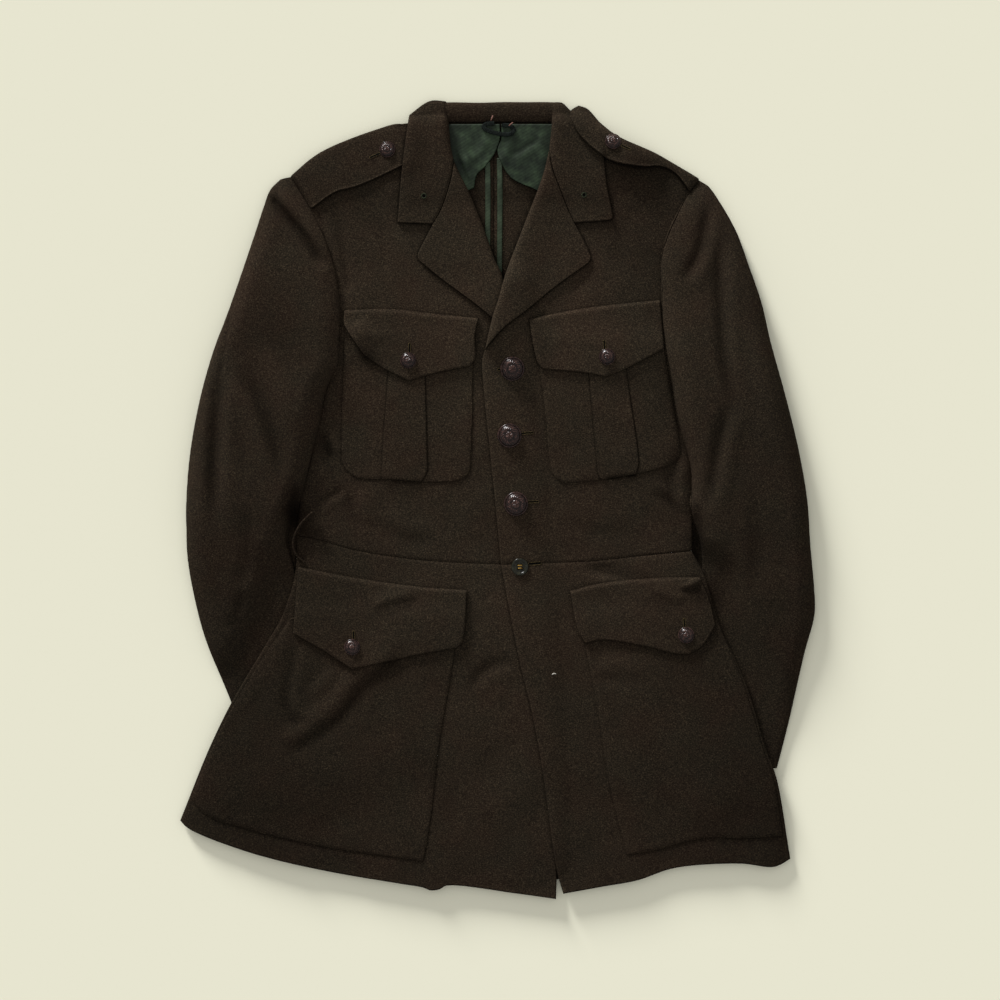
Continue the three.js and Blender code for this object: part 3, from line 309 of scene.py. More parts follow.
def twillLining(name, look):
    # Rayon lining in a twill weave: smooth and softly shiny, with fine slanting ribs drawn coarser than life
    made, tree = newMaterial(name)
    place = node(tree, "ShaderNodeTexCoord").outputs["Object"]
    slant = node(tree, "ShaderNodeMapping", inputs={"Rotation": (0, 0, math.radians(58)),
        "Vector": place}).outputs[0]
    bandsPerUnit = perMetre / look["twillMm"] * math.pi / 20
    rib = node(tree, "ShaderNodeTexWave", {"wave_type": "BANDS", "bands_direction": "X"}, {
        "Scale": bandsPerUnit, "Distortion": 0.6, "Detail": 1.0, "Vector": slant}).outputs["Fac"]
    cloud = node(tree, "ShaderNodeTexNoise", inputs={
        "Scale": perMetre / look["cloudMm"], "Detail": 4.0, "Roughness": 0.6, "Vector": place}).outputs["Fac"]
    colour = node(tree, "ShaderNodeValToRGB", inputs={"Fac": cloud}, stops=(
        (0.3, look["dark"]), (0.72, look["light"]), (0.5, look["base"]))).outputs["Color"]
    ribs = node(tree, "ShaderNodeValToRGB", inputs={"Fac": rib}, stops=(
        (0.0, "#C8C8C8"), (1.0, "#FFFFFF"))).outputs["Color"]
    colour = node(tree, "ShaderNodeMix", {"data_type": "RGBA", "blend_type": "MULTIPLY"},
                  {0: 0.5, 6: colour, 7: ribs}).outputs[2]
    bump = node(tree, "ShaderNodeBump", inputs={"Strength": 0.25, "Distance": 0.15 * mm,
        "Height": rib}).outputs[0]
    shader = node(tree, "ShaderNodeBsdfPrincipled", inputs={
        "Base Color": shaded(tree, colour), "Normal": bump, "Roughness": look["roughness"],
        "Specular IOR Level": 0.16})
    node(tree, "ShaderNodeOutputMaterial", inputs={"Surface": shader.outputs["BSDF"]})
    return made


def sewingThread(name, look):
    # Twisted silk thread: a fine slanting twist with a soft shine
    made, tree = newMaterial(name)
    place = node(tree, "ShaderNodeTexCoord").outputs["Object"]
    twist = node(tree, "ShaderNodeTexNoise", inputs={
        "Scale": perMetre / look["twistMm"], "Detail": 1.0, "Vector": place}).outputs["Fac"]
    colour = node(tree, "ShaderNodeValToRGB", inputs={"Fac": twist}, stops=(
        (0.35, look["base"]), (0.65, look["light"]))).outputs["Color"]
    shader = node(tree, "ShaderNodeBsdfPrincipled", inputs={
        "Base Color": shaded(tree, colour), "Roughness": 0.7, "Specular IOR Level": 0.04})
    node(tree, "ShaderNodeOutputMaterial", inputs={"Surface": shader.outputs["BSDF"]})
    return made


def dyedHorn(name, look):
    # Moulded button plastic that imitates horn: clouded colour under a worn, glossy skin
    made, tree = newMaterial(name)
    place = node(tree, "ShaderNodeTexCoord").outputs["Object"]
    cloud = node(tree, "ShaderNodeTexNoise", inputs={
        "Scale": perMetre / look["cloudMm"], "Detail": 3.0, "Roughness": 0.6, "Vector": place}).outputs["Fac"]
    colour = node(tree, "ShaderNodeValToRGB", inputs={"Fac": cloud}, stops=(
        (0.32, look["dark"]), (0.7, look["light"]), (0.5, look["base"]))).outputs["Color"]
    gloss = node(tree, "ShaderNodeMapRange", inputs={
        0: cloud, 1: 0.3, 2: 0.7, 3: look["roughness"] - 0.05, 4: look["roughness"] + 0.08}).outputs[0]
    shader = node(tree, "ShaderNodeBsdfPrincipled", inputs={
        "Base Color": shaded(tree, colour), "Roughness": gloss, "Specular IOR Level": look["gloss"]})
    node(tree, "ShaderNodeOutputMaterial", inputs={"Surface": shader.outputs["BSDF"]})
    return made


wool = meltonWool("meltonWool", woolLook)
lining = twillLining("rayonTwillLining", liningLook)
binding = twillLining("cottonSeamBinding", bindingLook)
holeThread = sewingThread("buttonholeSilk", {"base": "#1C170E", "light": "#4A3F28", "twistMm": 0.9})
greenThread = sewingThread("eyeletSilk", {"base": "#1A1E13", "light": "#34382A", "twistMm": 0.9})
goldThread = sewingThread("goldThread", {"base": "#4F3B18", "light": "#94773C", "twistMm": 0.7})
pinkThread = sewingThread("tackThread", {"base": "#5E3E36", "light": "#8E6C60", "twistMm": 0.7})
braid = sewingThread("wovenBraid", {"base": "#0A0C0B", "light": "#1A1F1C", "twistMm": 1.4})
brownHorn = dyedHorn("reddishBrownHorn", {
    "dark": "#120A08", "base": "#261916", "light": "#432F29", "cloudMm": 2.2, "roughness": 0.22, "gloss": 0.2})
greenHorn = dyedHorn("greyGreenHorn", {
    "dark": "#0C0C08", "base": "#191910", "light": "#2B2A1D", "cloudMm": 2.4, "roughness": 0.24, "gloss": 0.22})
print("materials ready")


# Meshes
def newObject(name, points, quads, material, shade=None):
    # Points in millimetres and quads as whole arrays, smooth shaded, with the shade attribute on the points
    mesh = bpy.data.meshes.new(name)
    mesh.vertices.add(len(points))
    mesh.vertices.foreach_set("co", (np.asarray(points, np.float32) * mm).ravel())
    mesh.loops.add(quads.size)
    mesh.loops.foreach_set("vertex_index", quads.astype(np.int32).ravel())
    mesh.polygons.add(len(quads))
    mesh.polygons.foreach_set("loop_start", np.arange(0, quads.size, 4, dtype=np.int32))
    mesh.polygons.foreach_set("use_smooth", np.ones(len(quads), bool))
    mesh.update(calc_edges=True)
    mesh.validate()
    values = np.ones(len(points), np.float32) if shade is None else np.asarray(shade, np.float32)
    mesh.attributes.new("shade", "FLOAT", "POINT").data.foreach_set("value", values.ravel())
    mesh.materials.append(material)
    made = bpy.data.objects.new(name, mesh)
    bpy.context.scene.collection.objects.link(made)
    return made


def gridQuads(rows, columns, start=0, closeColumns=False):
    # Quads between neighbours on a grid, and round to the first column where it is closed
    r = np.arange(rows - 1)[:, None]
    c = np.arange(columns if closeColumns else columns - 1)[None, :]
    after = (c + 1) % columns
    corners = [r * columns + c, (r + 1) * columns + c, (r + 1) * columns + after, r * columns + after]
    return np.stack([np.broadcast_to(k, (rows - 1, c.size)) for k in corners], -1).reshape(-1, 4) + start


def capQuads(count):
    # Quads that close a ring of points, each between two neighbours and the two across from them
    k = np.arange(count // 2 - 1)
    return np.stack([k, k + 1, count - 2 - k, count - 1 - k], -1)


def shellQuads(rows, columns):
    # Upper grid, lower grid turned over, and the wall round their edges
    upper = gridQuads(rows, columns)
    count = rows * columns
    lower = gridQuads(rows, columns, count)[:, ::-1]
    index = np.arange(count).reshape(rows, columns)
    ring = np.concatenate([index[:-1, 0], index[-1, :-1], index[:0:-1, -1], index[0, :0:-1]])
    after = np.roll(ring, -1)
    wall = np.stack([ring, ring + count, after + count, after], -1)
    return np.vstack([upper, lower, wall])


# Millimetres in from a side, close together where the cloth rounds over or is sewn down
rimSteps = np.array([0.0, 0.45, 1.0, 1.8, 3.0])
fullRim = 14.0  # a stretch shorter than this has its rim steps squeezed


def shares(lengths, step, breaks=()):
    # For each row, shares of its length: close together at its ends and breaks, a step apart between
    lengths = np.asarray(lengths, float)[:, None]
    ends = [np.zeros_like(lengths), *(np.asarray(b, float)[:, None] for b in breaks), np.ones_like(lengths)]
    parts = []
    for k, (a, b) in enumerate(zip(ends[:-1], ends[1:])):
        zone = (b - a) * lengths
        rim = np.minimum(1, zone / fullRim) * rimSteps
        count = max(2, int(round(float(zone.mean() - 2 * rimSteps[-1]) / step)))
        inner = mix(rim[:, -1:], zone - rim[:, -1:], np.linspace(0, 1, count + 1)[None, 1:-1])
        places = np.hstack([rim, inner, (zone - rim)[:, ::-1]])
        parts.append(a + places / lengths if k == 0 else (a + places / lengths)[:, 1:])
    return np.hstack(parts)


def at(line, share):
    # The point of a line at each share of its length
    steps = np.linspace(0, 1, len(line))
    return np.stack([np.interp(share, steps, line[:, k]) for k in range(2)], -1)


def patch(edges, u, v):
    # Top and bottom mixed by v, plus left and right mixed by u, less the mix of the four corners
    top, bottom, left, right = (edges[k] for k in ("top", "bottom", "left", "right"))
    u3, v3 = u[..., None], v[..., None]
    ruled = mix(at(top, u), at(bottom, u), v3) + mix(at(left, v), at(right, v), u3)
    return ruled - mix(mix(top[0], top[-1], u3), mix(bottom[0], bottom[-1], u3), v3)


def gridOn(edges, step, breaks=None):
    # A grid over a patch, with its distance from each side; breaks are (top share, bottom share) pairs
    v0 = np.linspace(0, 1, 41)
    left, right = at(edges["left"], v0), at(edges["right"], v0)
    width = np.maximum(np.linalg.norm(right - left, axis=1), 4)
    length = max(np.linalg.norm(np.diff(edges[side], axis=0), axis=1).sum() for side in ("left", "right"))
    v = shares([length], step)[0]
    widths = np.interp(v, v0, width)
    lines = [mix(a, b, v) for a, b in breaks or ()]
    u = shares(widths, step, lines)
    down = np.broadcast_to(v[:, None], u.shape)
    points = patch(edges, u, down)
    far = {
        "left": u * widths[:, None], "right": (1 - u) * widths[:, None],
        "top": down * length, "bottom": (1 - down) * length,
    }
    return points[..., 0], points[..., 1], u, far, [line[:, None] for line in lines], widths[:, None]


ground = np.zeros(latticeX.shape)
sideNames = ("left", "right", "top", "bottom")
# Turned edges: painted shade as a dark line on the edge, and a pale line a little way in of painted highlight
# and wear
turnedEdge = {"round": 1.3, "line": 0.7, "dark": 0.3, "wear": 0.08, "wearAndHighlightAt": 2.2, "wearAndHighlightWidth": 1.1}
# Sewn edges: a groove, and painted shade along it by the share dark
sewnEdge = {"groove": 2.6, "line": 1.0, "depth": 0.75, "dark": 0.5}


def settle(edges, level, piece):
    # The underside of a sheet: its own level, or what lies below it within its outline where that is higher
    inside = maskOf(closedLine(edges))
    below = spread(np.where(inside, ground, 0), piece.get("reach", 2))
    lying = np.maximum(soften(below, piece.get("soft", 2)), np.where(inside, ground, 0))
    lying = lying + piece.get("gap", 0.4) + piece.get("extra", 0)
    return inside, (lying if level is None else softMax(level, lying))


def steepness(under, x, y):
    # How much thicker a sloping sheet is straight up: the root of one and the squares of both slopes
    slopeY, slopeX = np.gradient(under)
    return np.minimum(1.8, np.sqrt(1 + sample(slopeX, x, y) ** 2 + sample(slopeY, x, y) ** 2))


def edgeShade(d, edge):
    # Painted shade as a dark line on the turned edge itself, and a pale line a little way in that is painted
    # highlight and wear
    line = 1 - edge["dark"] * (1 - ease(d / edge["line"]))
    return line * (1 + edge["wear"] * np.exp(-((d - edge["wearAndHighlightAt"]) / edge["wearAndHighlightWidth"]) ** 2))


def twoFaces(x, y, high, low):
    # The points of the upper face, then those of the lower one
    return np.concatenate([np.stack([x, y, z], -1).reshape(-1, 3) for z in (high, low)])


def fitted(made, nodeName=None):
    # Everything rides on the coat's one body, and what stands for a solid replaces its node
    if nodeName:
        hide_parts(nodeName)
    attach(made, "root")


def camel(nodeName):
    # A node's name as the name of its piece
    first, *rest = nodeName.split("_")
    return first + "".join(part.title() for part in rest)


def layPiece(nodeName, piece, level=None, material=None, slot="wool", lay=True):
    # A closed sheet of cloth on the lattice, with each side finished as its rim says
    global ground
    edges = {k: np.asarray(piece[k], float) for k in sideNames}
    thick = piece.get("thick", 1.8)
    inside, under = settle(edges, level, piece)
    x, y, u, far, lines, widths = gridOn(edges, piece["step"], piece.get("breaks"))
    low = sample(under, x, y)
    high = low + thick * steepness(under, x, y)
    shade = np.ones_like(x)
    rounded = np.zeros_like(x)
    rims = {**dict.fromkeys(sideNames, "free"), **piece.get("rims", {})}
    for side, rim in rims.items():
        d = far[side]
        kind, *numbers = rim if isinstance(rim, tuple) else (rim,)
        if kind == "free":  # a turned edge, rounded over, with painted shade on the edge and a pale line of painted highlight and wear
            rounded = np.maximum(rounded, 1 - quarterRound(d / turnedEdge["round"]))
            shade = shade * edgeShade(d, turnedEdge)
        if kind == "seam":  # sewn down into a groove of a depth, with painted shade in the groove darker by a share
            depth, dark = numbers or (sewnEdge["depth"], sewnEdge["dark"])
            high = high - depth * (1 - ease(d / sewnEdge["groove"]))
            shade = shade * (1 - dark * (1 - ease(d / sewnEdge["line"])))
        if kind == "roll":  # folded down over a radius, by a drop
            radius, drop = numbers
            high = high - drop * (1 - quarterRound(d / radius))
            low = np.minimum(low, high - 0.5)
    high = high - 0.6 * thick * rounded
    low = low + 0.15 * thick * rounded
    if "raised" in piece:
        lift = piece["raised"](u, lines, widths)
        high = high + lift[0]
        shade = shade * lift[1]
    # Wool takes the coat's painted light and mottle, and painted shadows beside the pieces that lie on it
    if slot == "wool":
        shade = shade * sample(coatPaintedLightAndMottle * paintedEdgeShadow(piece.get("under", ())), x, y)
    if "tone" in piece:
        shade = shade * sample(piece["tone"], x, y)
    high = np.maximum(high, 0.6)
    low = np.maximum(0, np.minimum(low, high - 0.3))
    points = twoFaces(x, y, high, low)
    made = newObject(camel(nodeName), points, shellQuads(*x.shape), material or wool, np.tile(shade.ravel(), 2))
    fitted(made, nodeName)
    if lay:
        ground = np.where(inside, np.maximum(ground, under + thick), ground)
    print(nodeName, "laid with", 2 * x.size, "points")


armName = {-1: "Left", 1: "Right"}

# Outlines that neighbours share, from the shoulder down
outlinePoints = {
    "armholeLeft": [(-216.5, 336), (-196, 303), (-181, 273), (-170.5, 242), (-166, 217), (-164.5, 181),
        (-166.5, 138)],
    "sideLeft": [(-166.5, 138), (-178, 117), (-188, 71), (-200.5, 20), (-207, -8), (-210.8, -38)],
    "armholeRight": [(210, 332.5), (199.5, 319), (175, 268), (169.5, 239), (171.5, 217), (171, 195),
        (175, 155)],
    "sideRight": [(175, 155), (181, 122), (188, 83), (196.5, 54), (202, 27), (202, -8), (202, -54)],
    "skirtLeft": [(-210.8, -38), (-210.8, -74), (-224, -120), (-241, -150), (-276, -209), (-301, -260),
        (-331.5, -335)],
    "skirtRight": [(202, -54), (214.5, -78), (229, -126), (258, -191), (279, -260), (290, -290), (305, -375)],
    "shoulderLeft": [(-52, 391.5), (-95, 391.5), (-123, 385.5), (-185, 360.5), (-216.5, 336)],
    "shoulderRight": [(56, 391.5), (84, 391), (108, 384.5), (125, 373), (165, 355), (184, 345.5), (210, 332.5)],
    "rollLeft": [(-52, 391.5), (-49, 367), (-41.5, 342), (-29, 317), (-14.5, 281), (-2, 246.5), (5, 232),
        (25, 155)],
    "rollRight": [(56, 391.5), (54, 368), (47, 338), (25, 280), (7.5, 233), (0, 206), (-5, 191.5),
        (-13.5, 155)],
    "edgeLeft": [(25, 155), (33, 60), (37, 0), (39.5, -68)],
    "edgeRight": [(-13.5, 155), (-16.5, 144), (-15.5, 120), (-8.5, 51), (-1, -24), (3, -68)],
    "skirtEdgeLeft": [(39.5, -68), (49, -157), (57, -292), (61, -389), (60.5, -416.5)],
    "skirtEdgeRight": [(3, -68), (22, -167), (36.5, -228), (47, -287), (54, -339), (61.8, -389), (68, -411)],
    "waistLeft": [(-210.8, -38), (-193, -40.5), (-149, -53), (-79, -63.5), (0, -67.6), (39.5, -68)],
    "waistRight": [(3, -68), (47, -66.5), (98, -64.5), (145, -59.5), (202, -54)],
    "hemLeft": [
        (-331.5, -335), (-323, -343), (-262, -367), (-181, -387), (-102, -400.5), (-78, -404.5), (-70, -407.5),
        (-60, -406), (-54, -402.5), (21, -411), (60.5, -416.5)],
    "hemRight": [(68, -411), (109, -403.5), (145, -397), (185, -384), (253, -379.6), (288, -383), (305, -375)],
}
outline = {name: smoothLine(points) for name, points in outlinePoints.items()}


def across(line):
    # The x of a line at each y
    return curve(line[::6, ::-1])


def height(line):
    # The y of a line at each x
    return curve(line[::6])


def downSide(name):
    # The x of the coat's whole side at each y: the armhole, the side and the skirt
    lines = [outline[kind + name] for kind in ("armhole", "side", "skirt")]
    return curve(np.vstack([line[(8 if k else 0)::8] for k, line in enumerate(lines)])[:, ::-1])


sideX = {s: downSide(name) for s, name in armName.items()}
shoulderY = {s: height(outline["shoulder" + name]) for s, name in armName.items()}
hemY = {s: height(outline["hem" + name]) for s, name in armName.items()}
rollX = {s: across(outline["roll" + name]) for s, name in armName.items()}


def sideLine(points):
    # A side given by two points is straight and by more is smooth; one in two parts has a corner between them
    if isinstance(points, np.ndarray):
        return points
    if isinstance(points, tuple):
        return joined(*(sideLine(part) for part in points))
    return np.array(points, float) if len(points) == 2 else smoothLine(points)


def drawn(table):
    # Each piece of a table with its four sides as lines
    return {name: {k: sideLine(v) if k in sideNames else v for k, v in piece.items()}
            for name, piece in table.items()}


# The pieces that lie on the fronts and skirts
lapels = drawn({
    "lapel_left": {
        "side": -1, "puff": 2.6, "spreadMm": 46,
        "top": [(-67.6, 286), (-60.3, 298.5), (-54, 315), (-48, 336), (-45.8, 352.5)],
        "left": [(-67.6, 286), (-83, 255.5), (-83.5, 252), (-82.2, 248.6)],
        "right": [(-45.8, 352.5), (-41.5, 342), (-29, 317), (-14.5, 281), (-2, 246.5), (5, 232), (25, 155)],
        "bottom": [(-82.2, 248.6), (-62.4, 232), (-8.3, 190.3), (25, 155)],
        "flat": (0.11, 0.2), "area": 0.0096, "on": ["frontLeft"], "under": ("front_right",),
        "rims": {"top": "seam", "right": ("roll", 5.5, 4.4)},
    },
    "lapel_right": {
        "side": 1, "puff": 3.0, "spreadMm": 50,
        "top": [(53, 363), (56.2, 344), (64.5, 321.5), (72.8, 300.5), (79, 287)],
        "left": [(53, 363), (47, 338), (25, 280), (7.5, 233), (0, 206), (-5, 191.5), (-13.5, 155)],
        "right": [(79, 287), (87.5, 272.5), (95.7, 254.8), (96.4, 250.5), (94.6, 246.5)],
        "bottom": [(-13.5, 155), (-8.3, 162), (6.2, 178), (29, 195.5), (55, 217.5), (94.6, 246.5)],
        "flat": (0.112, 0.21), "area": 0.0107, "on": ["frontRight"],
        "rims": {"top": "seam", "left": ("roll", 5.5, 4.4)},
    },
})


def boxPleat(u, lines, widths):
    # The strip between the two breaks stands up as a pleat; a thin dark line of painted shade runs along its
    # folds
    left, right = lines
    inner = np.minimum(u - left, right - u) * widths
    lift = 0.9 * quarterRound(inner / 1.4) * (inner > 0)
    line = 1 - 0.6 * np.exp(-((np.minimum(np.abs(u - left), np.abs(right - u)) * widths / 0.85) ** 2))
    return lift, line


pockets = drawn({
    "chest_pocket_left": {
        "top": [(-160, 168), (-25.5, 165)], "left": [(-160, 168), (-163, 60), (-161.5, 36), (-154.5, 26.5)],
        "right": [(-25.5, 165), (-28, 50), (-30.5, 27), (-43.7, 18.7)],
        "bottom": [(-154.5, 26.5), (-146, 21.8), (-117, 20.8), (-77, 17.7), (-43.7, 18.7)],
        "breaks": [(0.36, 0.31), (0.62, 0.68)], "raised": boxPleat,
        "flat": (0.2, 0.15), "area": 0.0194, "on": ["frontLeft"], "step": 2.0, "under": ("chest_flap_left",),
    },
    "chest_pocket_right": {
        "top": [(40, 166), (172.5, 160)], "left": [(40, 166), (48.9, 86), (54, 38.5), (57.5, 25), (67, 16.5)],
        "right": [(172.5, 160), (182, 102), (189, 62), (189, 45), (180.5, 35.5)],
        "bottom": [(67, 16.5), (106, 20), (144.6, 26), (180.5, 35.5)],
        "breaks": [(0.385, 0.345), (0.675, 0.675)], "raised": boxPleat,
        "flat": (0.2, 0.155), "area": 0.0185, "on": ["frontRight"], "step": 2.0, "under": ("chest_flap_right",),
    },
    "lower_pocket_left": {
        "top": [(-215, -123), (-40, -124)],
        "left": [(-215, -123), (-236, -152), (-274.5, -213), (-300, -262), (-320, -311)],
        "right": [(-40, -124), (-49, -184), (-61.5, -258), (-69.7, -331), (-77.5, -377.5)],
        "bottom": [(-320, -311), (-306, -328), (-268, -342), (-178, -363), (-113, -372.5), (-77.5, -377.5)],
        "flat": (0.28, 0.26), "area": 0.0515, "on": ["skirtLeft"], "step": 2.5, "under": ("lower_flap_left",),
    },
    "lower_pocket_right": {
        "top": [(84, -124), (226, -122)],
        "left": [(84, -124), (90.5, -152), (104, -222.5), (115.5, -295), (134, -371)],
        "right": [(226, -122), (255, -191), (276, -260), (287, -292), (297, -351.5)],
        "bottom": [(134, -371), (168, -365), (203, -355.5), (224, -352.6), (250, -353.6), (297, -351.5)],
        "flat": (0.22, 0.25), "area": 0.0374, "on": ["skirtRight"], "step": 2.5, "under": ("lower_flap_right",),
    },
})
flaps = drawn({
    "chest_flap_left": {
        "top": [(-160, 196.5), (-109, 197.6), (-72, 193.4), (-19.8, 188)],
        "left": [(-160, 196.5), (-160, 182), (-153, 169.5), (-139.4, 150)],
        "right": [(-19.8, 188), (-23.9, 169.5), (-23.5, 147), (-29, 138.3)],
        "bottom": ([(-139.4, 150), (-121.7, 137.5), (-93.6, 122.7)],
                   [(-93.6, 122.7), (-64.5, 131), (-29, 138.3)]),
        "flat": (0.145, 0.08), "area": 0.0078, "on": ["chestPocketLeft", "frontLeft"], "curl": 1,
    },
    "chest_flap_right": {
        "top": [(32, 187), (72, 195.5), (117.5, 202), (168.5, 207)],
        "left": [(32, 187), (36.5, 160), (42, 140), (47, 135.5)],
        "right": [(168.5, 207), (172.8, 156.5)],
        "bottom": ([(47, 135.5), (92, 131), (112.3, 127)],
                   [(112.3, 127), (130, 134), (155, 146.6), (172.8, 156.5)]),
        "flat": (0.142, 0.082), "area": 0.0081, "on": ["chestPocketRight", "frontRight"], "curl": 0,
    },
    "lower_flap_left": {
        "top": [(-208, -70), (-154, -81), (-79, -91.5), (-32, -94.6)],
        "left": [(-208, -70), (-213, -140)],
        "right": [(-32, -94.6), (-37.4, -149), (-43.7, -155)],
        "bottom": ([(-213, -140), (-186, -155), (-151.8, -176.8)],
                   [(-151.8, -176.8), (-108, -167.5), (-79, -161), (-43.7, -155)]),
        "flat": (0.185, 0.11), "area": 0.0128, "on": ["lowerPocketLeft", "skirtLeft"], "curl": 0,
    },
    "lower_flap_right": {
        "top": [(75, -95.7), (98, -89.4), (133, -84.2), (185, -81), (210, -81)],
        "left": [(75, -95.7), (83.2, -137), (90.5, -150)],
        "right": [(210, -81), (220, -105), (226, -131)],
        "bottom": ([(90.5, -150), (109, -146.6), (156, -154), (180, -160), (197.6, -161.7)],
                   [(197.6, -161.7), (213, -152), (226, -131)]),
        "flat": (0.155, 0.085), "area": 0.0092, "on": ["lowerPocketRight", "skirtRight"], "curl": 0,
    },
})
straps = drawn({
    "strap_left": {
        "top": [(-216, 337), (-185, 361.5), (-123, 386.5), (-104, 391), (-93, 388)],
        "left": [(-216, 337), (-205, 319.5), (-194.5, 302)],
        "right": [(-93, 388), (-88, 373), (-91, 351)],
        "bottom": [(-194.5, 302), (-169.5, 319), (-146.5, 325.5), (-101, 346), (-91, 351)],
        "flat": (0.15, 0.05), "area": 0.0049, "on": ["frontLeft"], "rims": {"left": ("seam", 2.2, 0.2)},
        "under": ("leaf_left",),
    },
    "strap_right": {
        "top": [(84, 410.8), (93, 407.5), (108, 391), (125, 377.5), (165, 360), (184, 349.5), (210, 334)],
        "left": [(84, 410.8), (76.5, 405.5), (75, 397)],
        "right": [(210, 334), (205, 327), (199.7, 320.3)],
        "bottom": [(75, 397), (83, 380.5), (104, 360), (120.5, 350.5), (151, 345.3), (169.5, 346.3),
            (184, 340), (199.7, 320.3)],
        "flat": (0.16, 0.05), "area": 0.0037, "rims": {"right": ("seam", 2.0, 0.2)},
    },
})
leaves = drawn({
    "leaf_left": {
        "top": [(-92.6, 400.4), (-71, 415), (-54, 414.8)],
        "left": [(-92.6, 400.4), (-99.8, 344), (-104.6, 287.5)],
        "right": joined(smoothLine([(-54, 414.8), (-52, 399), (-49, 367), (-46.1, 353)]),
                        moved(lapels["lapel_left"]["top"][::-1], -0.4, 0.2)),
        "bottom": [(-104.6, 287.5), (-68, 286.2)], "side": -1, "rollSide": "right",
    },
    "leaf_right": {
        "top": [(55, 413.6), (67, 413), (76, 405), (93, 397.5)],
        "left": joined(smoothLine([(55, 413.6), (56, 392), (53.3, 363.5)]),
                       moved(lapels["lapel_right"]["top"], 0.4, 0.2)),
        "right": [(93, 397.5), (106, 372), (110.3, 353), (113.5, 325), (118.6, 300.5), (119.5, 293.5),
            (117.5, 290.2)],
        "bottom": [(79.4, 287.2), (117.5, 290.2)], "side": 1, "rollSide": "left",
    },
})
frontEdges = {
    "front_right": {
        "top": outline["shoulderRight"], "right": joined(outline["armholeRight"], outline["sideRight"]),
        "left": joined(outline["rollRight"], outline["edgeRight"]), "bottom": outline["waistRight"],
    },
    "skirt_right": {
        "top": outline["waistRight"], "right": outline["skirtRight"],
        "left": outline["skirtEdgeRight"], "bottom": outline["hemRight"],
    },
}

# Each piece paints a shadow on the cloth that it lies on beside its edges, by the share given for its kind
uppers = {**lapels, **pockets, **flaps, **straps, **frontEdges, **leaves}
edgeShadowShare = {
    "lapel": 0.8, "chest": 0.35, "lower": 0.25, "strap": 0.65, "leaf": 0.8, "front": 0.5, "skirt": 0.5,
    "lining": 0.7,
}


def closedLine(edges):
    # Once round a piece, from the start of its top
    return np.vstack([edges["top"], edges["right"], edges["bottom"][::-1], edges["left"][::-1]])


def paintedEdgeShadow(names):
    # Painted shadow: cloth is darker for two millimetres or so beside the edge of a piece that lies on it
    tone = np.ones(latticeX.shape)
    for name in names:
        near = soften(maskOf(closedLine(uppers[name])).astype(float), 1.2)
        tone = tone * (1 - edgeShadowShare[name.split("_")[0]] * np.minimum(1, 2 * near))
    return tone


# Sleeves. Rows: the inner fold's x and y, the outer fold's x and y, and the height of the crown between them
sleeveRows = {
    -1: [(-209.5, -8, -325, -30, 17), (-219, -36, -323.5, -63, 15), (-212, -76, -316, -105, 12),
         (-190, -146, -305, -146, 10), (-160, -213, -278, -213, 7), (-129, -241, -257, -274, 4.5)],
    1: [(204, -8, 322.6, -2, 18), (209, -34, 325.7, -48, 16), (213.6, -74, 330, -97, 14),
        (203, -116, 330, -121, 12), (186, -170, 319.5, -161, 9.5), (168, -235, 303, -234, 6),
        (160, -262, 291, -281, 4.5)],
}
# Rows of the sleeve's head: the outer fold's x and y, and the crown's height
sleeveHead = {
    -1: [(-227, 333.5, 3), (-237.5, 322.5, 6), (-244.5, 304, 10), (-255, 272, 14), (-280, 199, 18),
         (-297.5, 152, 19), (-311, 103, 19), (-321, 48, 18), (-325, -2, 18)],
    1: [(219.5, 326.5, 3), (226, 318, 6), (247.5, 281, 12), (262, 242, 16), (275, 204, 18), (284, 165, 19),
        (301, 103, 19), (314, 49, 18)],
}
cuffs = {-1: ((-257, -274), (-129, -241)), 1: ((160, -262), (291, -281))}
armholeEnds = {-1: (108, 336), 1: (112, 332)}
outerRows = {s: sleeveHead[s] + [row[2:] for row in sleeveRows[s]] for s in armName}
outerPoints = {s: [(x, y) for x, y, _ in rows] for s, rows in outerRows.items()}
outerX = {s: curve([(y, x) for x, y, _ in rows]) for s, rows in outerRows.items()}
crown = {s: curve([(y, high) for _, y, high in rows]) for s, rows in outerRows.items()}
foldName = {s: ("armhole" + name, "side" + name) for s, name in armName.items()}
sideCut = 205  # points of the side's line that the sleeve's inner fold follows


def innerRows(s):
    # Points of a sleeve's inner fold: the armhole, the side of the body, and its own rows below
    hole, side = (outline[k] for k in foldName[s])
    rows = [(p[1], p[0]) for p in np.vstack([hole[::24], side[24:sideCut:24]])]
    firstRow = 0 if side[sideCut - 1, 1] > -6 else 1
    return rows + [(y, x) for x, y, *_ in sleeveRows[s][firstRow:]]


innerX = {s: curve(innerRows(s)) for s in armName}
skirtX = {s: curve(outline["skirt" + name][::8, ::-1]) for s, name in armName.items()}


def seamRise(s, y):
    # How far the armhole's seam stands up, from its foot to its top
    foot, top = armholeEnds[s]
    return 6.5 * ease((y - foot) / 45) * ease((top - y) / 60)


def cuffCover(s, x, y):
    # How far the skirt is raised over the end of a sleeve, from 0 to 1
    start, end = cuffs[s]
    cuffY = mix(start[1], end[1], clamp((x - start[0]) / (end[0] - start[0])))
    past = (s * (innerX[s](y) - x), s * (x - outerX[s](y)), cuffY - y)
    return ease((-50 - y) / 26) * np.prod([ease(1 - p / 64) for p in past], axis=0)


